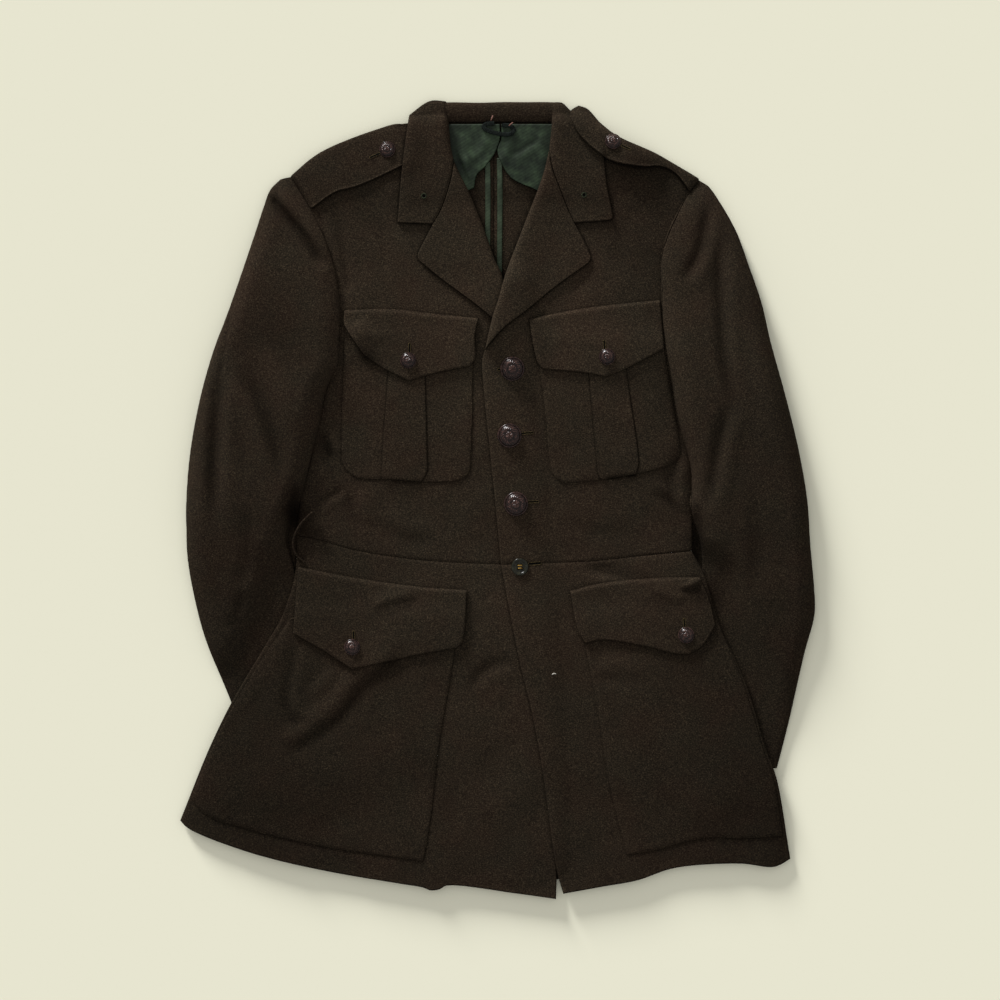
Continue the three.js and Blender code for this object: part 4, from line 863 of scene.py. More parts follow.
sleeveCreases = [
    {"path": [(-274.6, 214), (-281, 175), (-287, 135), (-290.5, 95)], "width": 1.9, "depth": -3.0, "end": 0.5,
     "start": 0.15},
    {"path": [(-286, 160), (-288, 150), (-293.3, 63.4), (-294.3, 5.2), (-291, -40)], "width": 8, "depth": -4.2,
     "beside": 1.8, "lean": 1},
    {"path": [(-238, 318), (-228.8, 304.7), (-200, 270), (-178.9, 236.1)], "width": 6, "depth": -5.5,
     "beside": 1.8, "start": 0.12, "end": 0.2},
    {"path": [(-268.3, 139.4), (-248.6, 103), (-228.8, 48.9), (-219.4, 10.4)], "width": 8, "depth": -3.4,
     "beside": 1.8, "lean": -1},
    {"path": [(-250, 170), (-225, 120), (-206, 60)], "width": 11, "depth": 1.8},
    {"path": [(-262, -91.5), (-276.6, -143.5)], "width": 7, "depth": -2.2},
    {"path": [(-262, 0), (-258, -60), (-270, -100)], "width": 9, "depth": -1.6},
    {"path": [(-215, -105), (-224.7, -126)], "width": 5, "depth": -2.0},
    {"path": [(-206, 22), (-213, -12), (-208, -44)], "width": 7, "depth": -7.5},
    {"path": [(217, 312), (217.4, 304.7), (211, 261), (198.6, 236), (186, 219)], "width": 6.5, "depth": -3.2,
     "beside": 1.6},
    {"path": [(230.9, 285), (229.8, 232), (231.9, 188), (235, 143.5), (242, 110), (253, 74)], "width": 7,
     "depth": -3.4, "beside": 1.8},
    {"path": [(241.3, 108), (228.8, 56), (220.5, 5), (214, -22)], "width": 7, "depth": -3.4, "beside": 1.6},
    {"path": [(262, 190), (276, 110), (286, 40)], "width": 14, "depth": 1.8},
    {"path": [(205, 4), (207, -40), (213, -82)], "width": 7, "depth": -6.5},
    {"path": [(222, -66), (228, -96), (224, -124)], "width": 9, "depth": -3.0},
    {"path": [(262, 20), (270, -50), (262, -110)], "width": 10, "depth": -1.6},
]
sleeveFolds = creaseMap(sleeveCreases)
bodyCreases = [
    {"path": [(-100, -160), (-119.6, -175.8), (-135, -190), (-149, -206), (-163, -224.6), (-193, -248.6),
              (-226, -271)],
     "width": 7, "depth": -4.6, "beside": 2.4, "lean": -1, "start": 0.1, "end": 0.25},
    {"path": [(-208, -136), (-216.3, -176.8), (-221, -211), (-214, -228), (-190, -237)],
     "width": 5.5, "depth": -3.8, "beside": 0.9, "lean": 1, "end": 0.2},
    {"path": [(-112, 19.3), (-79, 16.8)], "width": 1.4, "depth": -5, "start": 0.05, "end": 0.05},
    {"path": [(112.6, 21.6), (144.6, 25)], "width": 1.4, "depth": -5, "start": 0.05, "end": 0.05},
    {"path": [(-177.8, -172.6), (-198.6, -198.6)], "width": 5, "depth": -2.2, "beside": 1.4},
    {"path": [(-210, -74), (-222, -130), (-232, -157), (-273.5, -218.4)], "width": 2.2, "depth": -1.2,
     "beside": 0.6, "start": 0.5, "end": 0.1},
    {"path": [(20.8, -167.4), (-14.6, -179), (-32.2, -205)], "width": 7, "depth": -1.6, "beside": 0.8},
    {"path": [(97.8, -190.3), (130, -186), (162, -190.3)], "width": 7, "depth": -1.5, "beside": 0.8},
    {"path": [(-100, -250), (-60, -300), (-40, -360)], "width": 12, "depth": -1.0},
    {"path": [(140, -230), (170, -290), (180, -340)], "width": 12, "depth": -1.0},
    {"path": [(88, -72), (120, -76), (168, -80)], "width": 6, "depth": -3.0, "beside": 0.7, "lean": -1},
    {"path": [(60, -86), (100, -82), (180, -86), (206, -78)], "width": 7, "depth": 0.6},
    {"path": [(-168.5, 302), (-160, 254), (-157, 225), (-160, 206)], "width": 6, "depth": -1.5, "beside": 0.6,
     "lean": -1},
    {"path": [(-186, 74), (-180, 58), (-170.6, 40)], "width": 5, "depth": -3.2, "beside": 2.0, "lean": 1},
    {"path": [(-196, 52), (-190, 34), (-180, 18)], "width": 10, "depth": 2.2},
    {"path": [(-158, 12), (-176, 2), (-192, -9)], "width": 4.5, "depth": -2.0, "beside": 0.9, "lean": 1},
    {"path": [(-156, 10), (-150, -14), (-140, -34)], "width": 6, "depth": -1.6, "beside": 1.0},
    {"path": [(-130, -20), (-100, -40), (-60, -46)], "width": 8, "depth": -1.0, "beside": 0.6},
    {"path": [(190, 60), (180, 20), (186, -20)], "width": 7, "depth": -2.0, "beside": 1.2},
    {"path": [(160, 10), (184, -8), (198, -30)], "width": 5, "depth": -1.8, "beside": 1.0},
    {"path": [(60, -20), (100, -34), (150, -36)], "width": 9, "depth": -0.9},
    {"path": [(-134, 300), (-120, 268), (-116, 230)], "width": 9, "depth": -0.9},
    {"path": [(140, 310), (128, 270), (126, 236)], "width": 9, "depth": -0.8},
    {"path": [(100, 250), (88, 226), (70, 212)], "width": 6, "depth": -0.9},
]
bodyFolds = creaseMap(bodyCreases)
flapFolds = creaseMap([
    {"path": [(-131, -122.7), (-105, -112), (-79, -108)], "width": 6, "depth": -2.0, "beside": 1.4},
    {"path": [(156, -104), (170, -110), (186, -121)], "width": 8, "depth": -2.2, "beside": 1.4},
    {"path": [(189, -96), (200, -94), (214, -87)], "width": 2.6, "depth": -4.2, "beside": 2.6},
    {"path": [(-150, 186), (-132, 172), (-120, 160)], "width": 8, "depth": 1.4},
])
ripple = unevenness(16, 0.3)
fineRipple = unevenness(5, 0.12)
wornPatches = unevenness(30, 0.02)
# Painted light: the cloth darker towards the hem, the collar and the sides as light falls off from the chest,
# painted shade in the troughs of the creases and painted highlight on their ridges, and a faint random mottle
paintedFalloffAlong = curve([(-417, 0.67), (-300, 0.7), (-100, 0.82), (50, 0.9), (150, 0.97), (250, 0.97), (330, 0.8),
    (400, 0.72)])
paintedFalloffAcross = curve([(-340, 0.8), (-250, 0.8), (-150, 0.92), (0, 1.03), (150, 0.92), (250, 0.77), (340, 0.74)])
foldPaintedLight = np.clip(1 + 0.085 * (sleeveFolds + bodyFolds + flapFolds), 0.45, 1.12)
coatPaintedLightAndMottle = paintedFalloffAlong(latticeY) * paintedFalloffAcross(latticeX) * foldPaintedLight * (1 + wornPatches)
# Soft shade where cloth turns away or stands over a hollow: x, y and radius in millimetres, share taken away
softShades = [
    (150, 264, 46, 0.24), (-236, 178, 40, 0.24), (-90, 168, 36, 0.16), (-50, 240, 34, 0.1),
    (-140, 148, 9, 0.5), (-211, -14, 13, 0.55), (-196, -34, 9, 0.4), (-178, 52, 13, 0.15),
    (206, -46, 13, 0.4), (212, -98, 12, 0.3), (216, 250, 30, 0.12),
    (-128, 145, 8, 0.35), (140, 342, 17, 0.22), (172, 334, 16, 0.22),
]
for x, y, radius, share in softShades:
    coatPaintedLightAndMottle = coatPaintedLightAndMottle * (1 - share * np.exp(-((latticeX - x) ** 2 + (latticeY - y) ** 2) / radius ** 2))


sleeveForm = {
    "underHalf": 2.1, "innerRound": 24, "foldsFrom": 16, "outerRound": 22, "pressedTo": 2.0, "ripple": 1.6,
}
bodyForm = {"back": 2.1, "sideRound": 38, "foldsFrom": 14, "shoulderRound": 30, "hemFade": 60, "ripple": 1.3}


def sleeveLevel(s):
    # A sleeve's upper half: from its seam over the crown to its outer fold, pressed flat under the skirt
    x, y = latticeX, latticeY
    fromInner, fromOuter = s * (x - innerX[s](y)), s * (outerX[s](y) - x)
    seam = seamRise(s, y)
    free = seam + (crown[s](y) - seam) * quarterRound(fromInner / sleeveForm["innerRound"])
    folds = (sleeveFolds + sleeveForm["ripple"] * ripple) * quarterRound(fromInner / sleeveForm["foldsFrom"])
    free = free + folds
    underSkirt = ease((s * (skirtX[s](y) - x) + 46) / 30) * ease((-40 - y) / 30)
    pressed = mix(free, np.minimum(free, sleeveForm["pressedTo"]), underSkirt)
    return sleeveForm["underHalf"] + np.maximum(0, pressed) * quarterRound(fromOuter / sleeveForm["outerRound"])


def innerFold(s, below):
    # The whole inner fold: the armhole, the side as far as the sleeve follows it, and the rows below
    hole, side = (outline[k] for k in foldName[s])
    return joined(hole, side[:sideCut], smoothLine([tuple(side[sideCut - 1]), *below]))


def sleeveSides(s, outer, fold):
    # The four sides of a sleeve's half, with straight ends at its head and its cuff
    left, right = (outer, fold) if s < 0 else (fold, outer)
    return {"left": left, "right": right,
            "top": np.linspace(left[0], right[0], 9), "bottom": np.linspace(left[-1], right[-1], 9)}


sleeveSpec = {
    -1: {"flat": (0.125, 0.63), "area": 0.055, "underRows": [(-209, -36), (-209.5, -72)]},
    1: {"flat": (0.13, 0.62), "area": 0.054, "underRows": [(200.8, -50), (208, -70)]},
}
for s, spec in sleeveSpec.items():
    rows = [(x, y) for x, y, *_ in sleeveRows[s]]
    inner = moved(innerFold(s, rows[1:]), -0.8 * s, 0)
    innerUnder = moved(innerFold(s, spec["underRows"] + rows[3:]), 0.45 * s, 0)
    outer = evenly(smoothLine(outerPoints[s]), 361)
    side = armName[s].lower()
    innerSide, outerSide = ("right", "left") if s < 0 else ("left", "right")
    base = {"gap": 0, "flat": spec["flat"], "area": spec["area"]}
    layPiece("sleeve_under_" + side, {
        **base, **sleeveSides(s, outer, innerUnder), "step": 5, "on": ["floor"],
    }, np.zeros(latticeX.shape), lay=False)
    layPiece("sleeve_top_" + side, {
        **base, **sleeveSides(s, outer, inner), "step": 2.5, "on": ["sleeveUnder" + armName[s]],
        "rims": {innerSide: ("seam", 0.4, 0.1), outerSide: ("roll", 4, 1.6)},
    }, sleeveLevel(s))
print("sleeves laid")

# Backs and the neck
sleevesStand = 6.4  # the most that a sleeve lifts the skirt over it
sleeveGround = np.where(latticeY < -56, np.minimum(spread(ground, 40), sleevesStand), 0)


def backLevel():
    # The back: flat, and raised behind the neck and over the ends of the sleeves
    x, y = latticeX, latticeY
    overFall = 2.2 * ease((y - 308) / 20) * ease((126 - np.abs(x)) / 26)
    overCuff = 6.2 * np.maximum(cuffCover(-1, x, y), cuffCover(1, x, y))
    onSleeve = np.where(sleeveGround > 0, sleeveGround + 0.4, 0)
    return np.maximum(np.maximum(overFall, overCuff), soften(onSleeve, 18))


linings = drawn({
    "lining_left": {
        "top": [(-66, 391), (2, 391)],
        "left": [(-66, 391), (-66, 310)],
        "right": [(2, 391), (2, 376.5), (-2.2, 363), (-12.5, 347.5), (-22, 338), (-25, 324.5)],
        "bottom": [(-66, 310), (-45, 316), (-25, 324.5)],
        "flat": (0.07, 0.082), "area": 0.0046,
    },
    "lining_right": {
        "top": [(3.4, 391), (66, 391)],
        "left": [(3.4, 391), (3.4, 376.5), (-0.6, 363), (4.8, 347.5), (13.5, 335), (25, 328.5), (39.5, 323.5)],
        "right": [(66, 391), (66, 310)],
        "bottom": [(39.5, 323.5), (52, 315), (66, 310)],
        "flat": (0.07, 0.082), "area": 0.0042,
    },
})
uppers.update(linings)
backHeight = backLevel()
seamX = -4.5
backs = drawn({
    "back_left": {
        "top": [(-216.5, 336), (-185, 358.5), (-123, 383), (-95, 391), (-50, 392), (seamX - 0.02, 392)],
        "left": joined(outline["armholeLeft"], outline["sideLeft"],
                       smoothLine([(-209, -38), (-208.5, -73), (-223.5, -121), (-275.5, -210),
                                   (-300.5, -261), (-329, -333)])),
        "right": [(seamX - 0.02, 392), (seamX - 0.02, -398)],
        "bottom": [(-329, -333), (-262, -361), (-181, -381), (-102, -393), (seamX - 0.02, -398)],
        "flat": (0.36, 0.8), "area": 0.175,
    },
    "back_right": {
        "top": [(seamX + 0.02, 392), (52, 392), (82, 390), (108, 383), (165, 352), (210, 332.5)],
        "left": [(seamX + 0.02, 392), (seamX + 0.02, -398)],
        "right": joined(outline["armholeRight"], outline["sideRight"],
                        smoothLine([(200, -54), (212.5, -79), (228.5, -127), (257.5, -192),
                                    (278.5, -261), (302, -371)])),
        "bottom": [(seamX + 0.02, -398), (109, -394), (185, -378), (253, -373), (302, -371)],
        "flat": (0.35, 0.8), "area": 0.172,
    },
})
for nodeName, piece in backs.items():
    seamSide = "right" if nodeName == "back_left" else "left"
    layPiece(nodeName, {
        **piece, "step": 5.0, "gap": 0, "rims": {seamSide: "seam"}, "on": ["floor"],
        "under": ("lining_left", "lining_right", "lapel_left", "lapel_right")}, backHeight)

bindings = [
    {"node": "binding_left", "x": -10.9, "from": 352, "to": 262, "flat": (0.01, 0.09), "area": 0.0005},
    {"node": "binding_right", "x": 1.6, "from": 356, "to": 236, "flat": (0.01, 0.12), "area": 0.00067},
]
bindingHalf = 2.8
for strip in bindings:
    low, high = strip["x"] - bindingHalf, strip["x"] + bindingHalf
    top, foot = strip["from"], strip["to"]
    layPiece(strip["node"], {
        "top": np.array([(low, top), (high, top)]), "bottom": np.array([(low, foot), (high, foot)]),
        "left": smoothLine([(low, top), (low + 0.5, 320), (low, foot)]),
        "right": smoothLine([(high, top), (high + 0.5, 320), (high, foot)]),
        "thick": 0.9, "step": 1.2, "flat": strip["flat"], "area": strip["area"], "on": ["backLeft"],
    }, material=binding, slot="lining")

# Puckers of the lining, and its painted light: the colour raised overall, painted highlight on the ridges,
# painted shade towards the collar and the fronts
neckFolds = creaseMap([
    {"path": [(40, 372), (37, 366), (17.7, 347.5), (32, 333)], "width": 5.0, "depth": 0.5, "start": 0.2},
    {"path": [(46, 378), (28, 366), (8, 356)], "width": 3.5, "depth": -0.9},
    {"path": [(20, 384), (10, 366), (9, 350)], "width": 4, "depth": 1.0},
    {"path": [(-8, 384), (-18, 362), (-40, 348)], "width": 5, "depth": 1.0},
    {"path": [(-38, 384), (-32, 360), (-34, 340)], "width": 4, "depth": 0.8},
    {"path": [(-47, 368), (-37, 344), (-27, 322)], "width": 2.5, "depth": -1.4, "beside": 0.8},
    {"path": [(44, 384), (46, 362), (52, 345)], "width": 4, "depth": 0.8},
])
liningPaintedLight = np.clip(1.22 + 0.26 * neckFolds, 0.7, 1.7) * mix(0.55, 1, ease((54 - np.abs(latticeX - 2)) / 22))
liningPaintedLight = liningPaintedLight * mix(0.6, 1, ease((393 - latticeY) / 10))
for nodeName, piece in linings.items():
    layPiece(nodeName, {
        **piece, "thick": 1.0, "step": 1.4, "reach": 4, "soft": 3, "tone": liningPaintedLight,
        "on": ["backLeft", "backRight"], "extra": np.maximum(0, 0.9 + neckFolds + 0.8 * ripple),
    }, material=lining, slot="lining")
print("backs and lining laid")

# Fronts and skirts
bodyCrown = curve([(-417, 4.8), (-300, 4.8), (-150, 4), (-62, 2.6), (50, 6), (150, 8), (250, 7.5), (330, 5),
    (400, 2.5)])


def bodyLevel(s):
    # A front with its skirt: up from the armhole and the side to the crown, with the creases on it
    x, y = latticeX, latticeY
    seam = seamRise(s, y)
    inside = s * (sideX[s](y) - x)
    crownHere = np.maximum(1, bodyCrown(y) - 0.55 * backHeight * (y < 0))
    rise = seam + (crownHere - seam) * quarterRound(inside / bodyForm["sideRound"])
    folds = bodyFolds + bodyForm["ripple"] * ripple + fineRipple
    shoulder = quarterRound((shoulderY[s](x) - y) / bodyForm["shoulderRound"])
    hem = mix(0.9, 1, ease((y - hemY[s](x)) / bodyForm["hemFade"]))
    rise = (rise + folds * quarterRound(inside / bodyForm["foldsFrom"])) * (shoulder * hem)
    return backHeight + bodyForm["back"] + np.maximum(0, rise)


def insetRoll(line, distance):
    # The front's edge drawn back under the roll of the lapel
    line = line.copy()
    line[:, 0] += distance * ease((line[:, 1] - 158) / 22)
    return line


def frontPieces(s, frontFacts, skirtFacts):
    # The front and the skirt of one side, from the outlines that they share with their neighbours
    name, side = armName[s], armName[s].lower()
    outer, inner = ("left", "right") if s < 0 else ("right", "left")
    waistSeam = ("seam", 0.5, 0.25)
    shoulder = outline["shoulder" + name][::s]
    hidden = 0.3  # the skirt starts this far under the seam
    return {
        "front_" + side: {
            "side": s, "top": shoulder, outer: joined(outline["armhole" + name], outline["side" + name]),
            inner: joined(insetRoll(outline["roll" + name], 2.2 * s), outline["edge" + name]),
            "bottom": outline["waist" + name],
            "rims": {outer: ("seam", 0.2, 0.12), "bottom": waistSeam, "top": ("seam", 0.6, 0.2)}, **frontFacts,
        },
        "skirt_" + side: {
            "side": s, "top": moved(outline["waist" + name], 0, -hidden),
            outer: moved(outline["skirt" + name], 0, -hidden),
            inner: moved(outline["skirtEdge" + name], 0, -hidden),
            "bottom": moved(outline["hem" + name], 0, -hidden), "rims": {"top": waistSeam}, **skirtFacts,
        },
    }


leftFronts = frontPieces(-1, {
    "flat": (0.25, 0.47), "area": 0.0882, "on": ["backLeft", "liningLeft"],
    "under": ("lapel_left", "chest_pocket_left", "chest_flap_left", "strap_left", "leaf_left", "front_right"),
}, {
    "flat": (0.395, 0.38), "area": 0.102, "on": ["backLeft"],
    "under": ("lower_pocket_left", "lower_flap_left", "skirt_right"),
})
rightFronts = frontPieces(1, {
    "flat": (0.23, 0.47), "area": 0.0872, "on": ["backRight", "liningRight", "frontLeft"],
    "under": ("lapel_right", "chest_pocket_right", "chest_flap_right", "strap_right", "leaf_right"),
}, {
    "flat": (0.305, 0.36), "area": 0.075, "on": ["backRight", "skirtLeft"],
    "under": ("lower_pocket_right", "lower_flap_right"),
})


def laySide(table, gap, reach, soft):
    # The front and the skirt of one side, laid on what is there
    for nodeName, piece in table.items():
        spec = {**piece, "step": 2.2, "gap": gap, "reach": reach, "soft": soft}
        layPiece(nodeName, spec, bodyLevel(piece["side"]))


# The sleeves' edges tuck under the fronts at the armholes without lifting them
for piece in (leftFronts["front_left"], rightFronts["front_right"]):
    tucked = maskOf(closedLine(piece)) & (np.abs(latticeX) > 120)
    ground = np.where(tucked, np.minimum(ground, backHeight + 1.8), ground)
laySide(leftFronts, gap=0.3, reach=3, soft=4)


def rollPuff(s, height, reach):
    # Lapels and leaves stand a little off the front along their roll
    fromRoll = s * (latticeX - rollX[s](latticeY))
    return height * quarterRound(fromRoll / 8) * (1 - ease(fromRoll / reach))


def layLapel(nodeName):
    piece = lapels[nodeName]
    layPiece(nodeName, {
        **piece, "thick": 2.3, "step": 1.8, "reach": 7, "soft": 4,
        "extra": rollPuff(piece["side"], piece["puff"], piece["spreadMm"]) + 0.5 * np.abs(ripple)})


layLapel("lapel_left")
laySide(rightFronts, gap=0.5, reach=18, soft=11)
layLapel("lapel_right")
print("fronts and lapels laid")


# Pockets and flaps
sewnOn = {side: ("seam", 0.7, 0.3) for side in ("left", "right", "bottom")}
for nodeName, piece in pockets.items():
    layPiece(nodeName, {**piece, "thick": 1.0, "gap": 0.1, "rims": sewnOn})


def lifted(x, y):
    # The outer end of the left chest flap curls up off its pocket
    return 4.2 * ease((-126 - x) / 26) * ease((190 - y) / 24)


for nodeName, piece in flaps.items():
    layPiece(nodeName, {
        **piece, "thick": 2.1, "step": 1.7, "reach": 9, "soft": 5, "rims": {"top": ("seam", 1.6, 0.3)},
        "extra": piece["curl"] * lifted(latticeX, latticeY) + np.maximum(0, 0.5 + flapFolds + 0.4 * ripple)})
print("pockets and flaps laid")

# Shoulder straps and collar
strapFinish = {"thick": 2.6, "step": 1.6, "soft": 3}
layPiece("strap_left", {**straps["strap_left"], **strapFinish})

collarTop = curve([(-110, 388), (-93, 400.5), (-71, 415), (67, 413), (76, 405), (96, 396)])
# The y and z of the collar's section behind the neck: over the fold, down the fall, and back along the stand
collarSection = [
    (392.8, 4.6), (396, 5.6), (400, 6.5), (408, 6.6), (412, 5.6), (413.9, 3.4), (413.6, 1.4), (411.6, 0.2),
    (404, 0.0), (357.8, 0.0), (357.4, 0.9), (357.8, 1.8), (404, 1.8), (409.5, 2.0), (411.0, 2.8), (409.5, 3.9),
    (404, 4.6), (396, 4.0), (392.8, 3.4),
]
neckBand = {"fromX": -72.0, "toX": 67.0, "columns": 90}
leafThick = 2.6
leafEdge = {**turnedEdge, "line": 0.8, "dark": 0.45, "wear": 0.1}


def leafShell(leaf):
    # One leaf of the collar: it rises from the fold at the back of the neck and lies down over the front
    edges = {k: leaf[k] for k in sideNames}
    held = ground.copy()
    line = int(394 - lattice["low"])
    held[line:] = held[line]
    inside = maskOf(closedLine(edges))
    below = spread(np.where(inside, held, 0), 8)
    lying = np.maximum(soften(below, 5), np.where(inside, held, 0)) + 0.4 + rollPuff(leaf["side"], 2.6, 46)
    under = mix(2.4, np.maximum(lying, 6.2), quarterRound((collarTop(latticeX) - latticeY - 1.4) / 15))
    x, y, _, far, _, _ = gridOn(edges, 1.5)
    low = sample(under, x, y)
    high = low + leafThick * steepness(under, x, y)
    rollSide, outerSide = leaf["rollSide"], "left" if leaf["rollSide"] == "right" else "right"
    onRoll = ease((y - 350) / 14)
    high = high - 4.2 * onRoll * (1 - quarterRound(far[rollSide] / 5.5))
    high = high - 0.75 * (1 - onRoll) * (1 - ease(far[rollSide] / 2.4))
    # Painted shade along the roll side where the leaf meets the lapel, painted shade and highlight on the outer
    # edges, and the coat's painted light
    shade = 1 - 0.6 * (1 - onRoll) * (1 - ease(far[rollSide] / 0.9))
    for side in (outerSide, "bottom"):
        d = far[side]
        high = high - 1.5 * (1 - quarterRound(d / leafEdge["round"]))
        shade = shade * edgeShade(d, leafEdge)
    shade = shade * sample(coatPaintedLightAndMottle, x, y)
    low = np.minimum(low, high - 0.4)
    return twoFaces(x, y, high, low), shellQuads(*x.shape), np.tile(shade.ravel(), 2), inside, under


def bandShell():
    # The section of the stand and the fall, carried along the neck and closed at both ends
    section = smoothLine(collarSection, 109)[:-1]
    x = np.linspace(neckBand["fromX"], neckBand["toX"], neckBand["columns"])
    sway = 0.5 * np.sin(x / 17.0) + 0.25 * np.sin(x / 7.3 + 1)
    y = section[None, :, 0] + sway[:, None] * ease((section[None, :, 0] - 385) / 20) * 0.6
    points = np.stack([
        np.broadcast_to(x[:, None], y.shape), y, np.broadcast_to(section[None, :, 1], y.shape)], -1)
    count = len(section)
    side = gridQuads(len(x), count, closeColumns=True)
    cap = capQuads(count)
    last = (len(x) - 1) * count
    # Painted shade: the band darker overall, like the coat near the collar, and darkest along the fall's lower
    # edge at the neck
    shade = np.broadcast_to(0.74 - 0.4 * np.exp(-(((section[:, 0] - 393.4) / 0.9) ** 2)), y.shape)
    points[..., 2] = np.maximum(points[..., 2], 0.05)
    return points.reshape(-1, 3), np.vstack([side[:, ::-1], cap, cap[:, ::-1] + last]), shade.ravel()


bandPoints, bandQuads, bandShade = bandShell()
shells = [leafShell(leaf) for leaf in leaves.values()]
allPoints, allQuads, allShade, offset = [bandPoints], [bandQuads], [bandShade], len(bandPoints)
for points, quads, shade, inside, under in shells:
    allPoints.append(points)
    allQuads.append(quads + offset)
    allShade.append(shade)
    offset += len(points)
    ground = np.where(inside, np.maximum(ground, under + leafThick), ground)
collar = newObject("collar_cloth", np.vstack(allPoints), np.vstack(allQuads), wool, np.concatenate(allShade))
fitted(collar, "collar")

# The right strap bows up off the shoulder between its two ends
bow = 8 * np.sin(np.pi * clamp((latticeX - 84) / 106)) ** 2
layPiece("strap_right", {
    **straps["strap_right"], **strapFinish, "on": ["collar_cloth", "frontRight"], "extra": bow})
print("straps and collar laid")


# Loops: a strip of even thickness along a path
stripSides = 16


def stripMesh(path, width, thick, upright=False):
    # A flat oval section carried along the path, wide across it or standing on its edge
    line = smoothLine(path, 49)
    along = np.gradient(line, axis=0)
    along /= np.linalg.norm(along, axis=1)[:, None]
    acrossPath = np.cross(along, (0, 0, 1.0))
    acrossPath /= np.linalg.norm(acrossPath, axis=1)[:, None]
    up = np.cross(acrossPath, along)
    angle = np.linspace(0, 2 * np.pi, stripSides, endpoint=False)
    a, b = (np.sign(wave) * np.abs(wave) ** 0.5 / 2 for wave in (np.cos(angle), np.sin(angle)))
    wide, tall = (thick, width) if upright else (width, thick)
    ring = a[None, :, None] * wide * acrossPath[:, None] + b[None, :, None] * tall * up[:, None]
    points = line[:, None] + ring
    side = gridQuads(len(line), stripSides, closeColumns=True)
    cap = capQuads(stripSides)
    return points.reshape(-1, 3), np.vstack([side, cap[:, ::-1], cap + (len(line) - 1) * stripSides])


def surfaceAt(x, y, reach=0):
    # The height of the cloth at one place, or the highest within a reach of it
    return float(sample(spread(ground, reach), np.array(float(x)), np.array(float(y))))


hanger = {"width": 4.4, "thick": 1.6, "clear": 1.0, "path": [
    (-4, 391.5), (-12, 390.5), (-15.2, 388), (-12, 384.6), (-4, 381.6), (7, 379.8), (14.5, 381), (16.6, 384.6),
    (13.5, 388.4), (4, 389.6)]}
hangerHeight = spread(ground, 3)
hangerLine = [
    (x, y, float(sample(hangerHeight, np.array(x), np.array(y))) + hanger["clear"]) for x, y in hanger["path"]]
points, quads = stripMesh(hangerLine, hanger["width"], hanger["thick"])
fitted(newObject("hangerLoop", points, quads, braid), "hanger_loop")

# The loop's cloth is painted in shade, at the given share of the wool's colour
keeper = {"width": 6.0, "thick": 2.2, "inset": 3.2, "shade": 0.55, "path": [
    (-192, -13), (-205, -26), (-212, -40), (-212.5, -50), (-209, -59), (-202, -65)]}
keeperLow, keeperHigh = (corner.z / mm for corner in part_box("belt_loop"))
keeperHeights = np.linspace(keeperHigh - keeper["inset"], keeperLow + keeper["inset"], len(keeper["path"]))
keeperLine = [(x, y, z) for (x, y), z in zip(keeper["path"], keeperHeights)]
points, quads = stripMesh(keeperLine, keeper["width"], keeper["thick"], upright=True)
fitted(newObject("beltLoop", points, quads, wool, np.full(len(points), keeper["shade"])), "belt_loop")


# Buttons
buttonSink = 1.0


def seatOf(x, y, radius):
    # The plane a button rests on: the slope of the cloth under it, raised until nothing stands through it
    angle = np.linspace(0, 2 * np.pi, 24, endpoint=False)
    r = np.array([0.0, 0.5, 1.0])[:, None] * radius
    px, py = x + r * np.cos(angle), y + r * np.sin(angle)
    z = sample(ground, px, py)
    slopeX = (surfaceAt(x + radius, y) - surfaceAt(x - radius, y)) / (2 * radius)
    slopeY = (surfaceAt(x, y + radius) - surfaceAt(x, y - radius)) / (2 * radius)
    seat = (z - slopeX * (px - x) - slopeY * (py - y)).max()
    return slopeX, slopeY, float(seat)


def placed(local, x, y, radius):
    # Local points turned to the slope of the cloth and set down a little way into it
    slopeX, slopeY, seat = seatOf(x, y, radius)
    up = np.array([-slopeX, -slopeY, 1.0])
    up /= np.linalg.norm(up)
    right = np.cross((0, 1.0, 0), up)
    right /= np.linalg.norm(right)
    ahead = np.cross(up, right)
    return local @ np.stack([right, ahead, up]) + (x, y, seat - buttonSink)


def turned(points, degrees):
    # The points turned about the upright axis
    turn = math.radians(degrees)
    spin = np.array([[math.cos(turn), math.sin(turn), 0], [-math.sin(turn), math.cos(turn), 0], [0, 0, 1]])
    return points @ spin


def wreathRelief(share, angle, scale):
    # Raised work on the dome: a beaded ring, a wreath of leaves and a rosette of eight petals
    beads = 0.34 * np.exp(-(((share - 0.80) / 0.035) ** 2)) * (0.55 + 0.45 * np.cos(44 * angle))
    sweep = angle + 1.6 * (share - 0.55) * np.sign(np.sin(angle))
    leaves = 0.85 * np.exp(-(((share - 0.57) / 0.13) ** 2)) * np.abs(np.cos(9 * sweep)) ** 1.5
    petals = 0.85 * ease((0.36 - share) / 0.1) * (0.35 + 0.65 * np.abs(np.cos(4 * angle))) * ease(share / 0.12)
    boss = 0.45 * ease((0.11 - share) / 0.05)
    return scale * (beads + leaves + petals + boss)


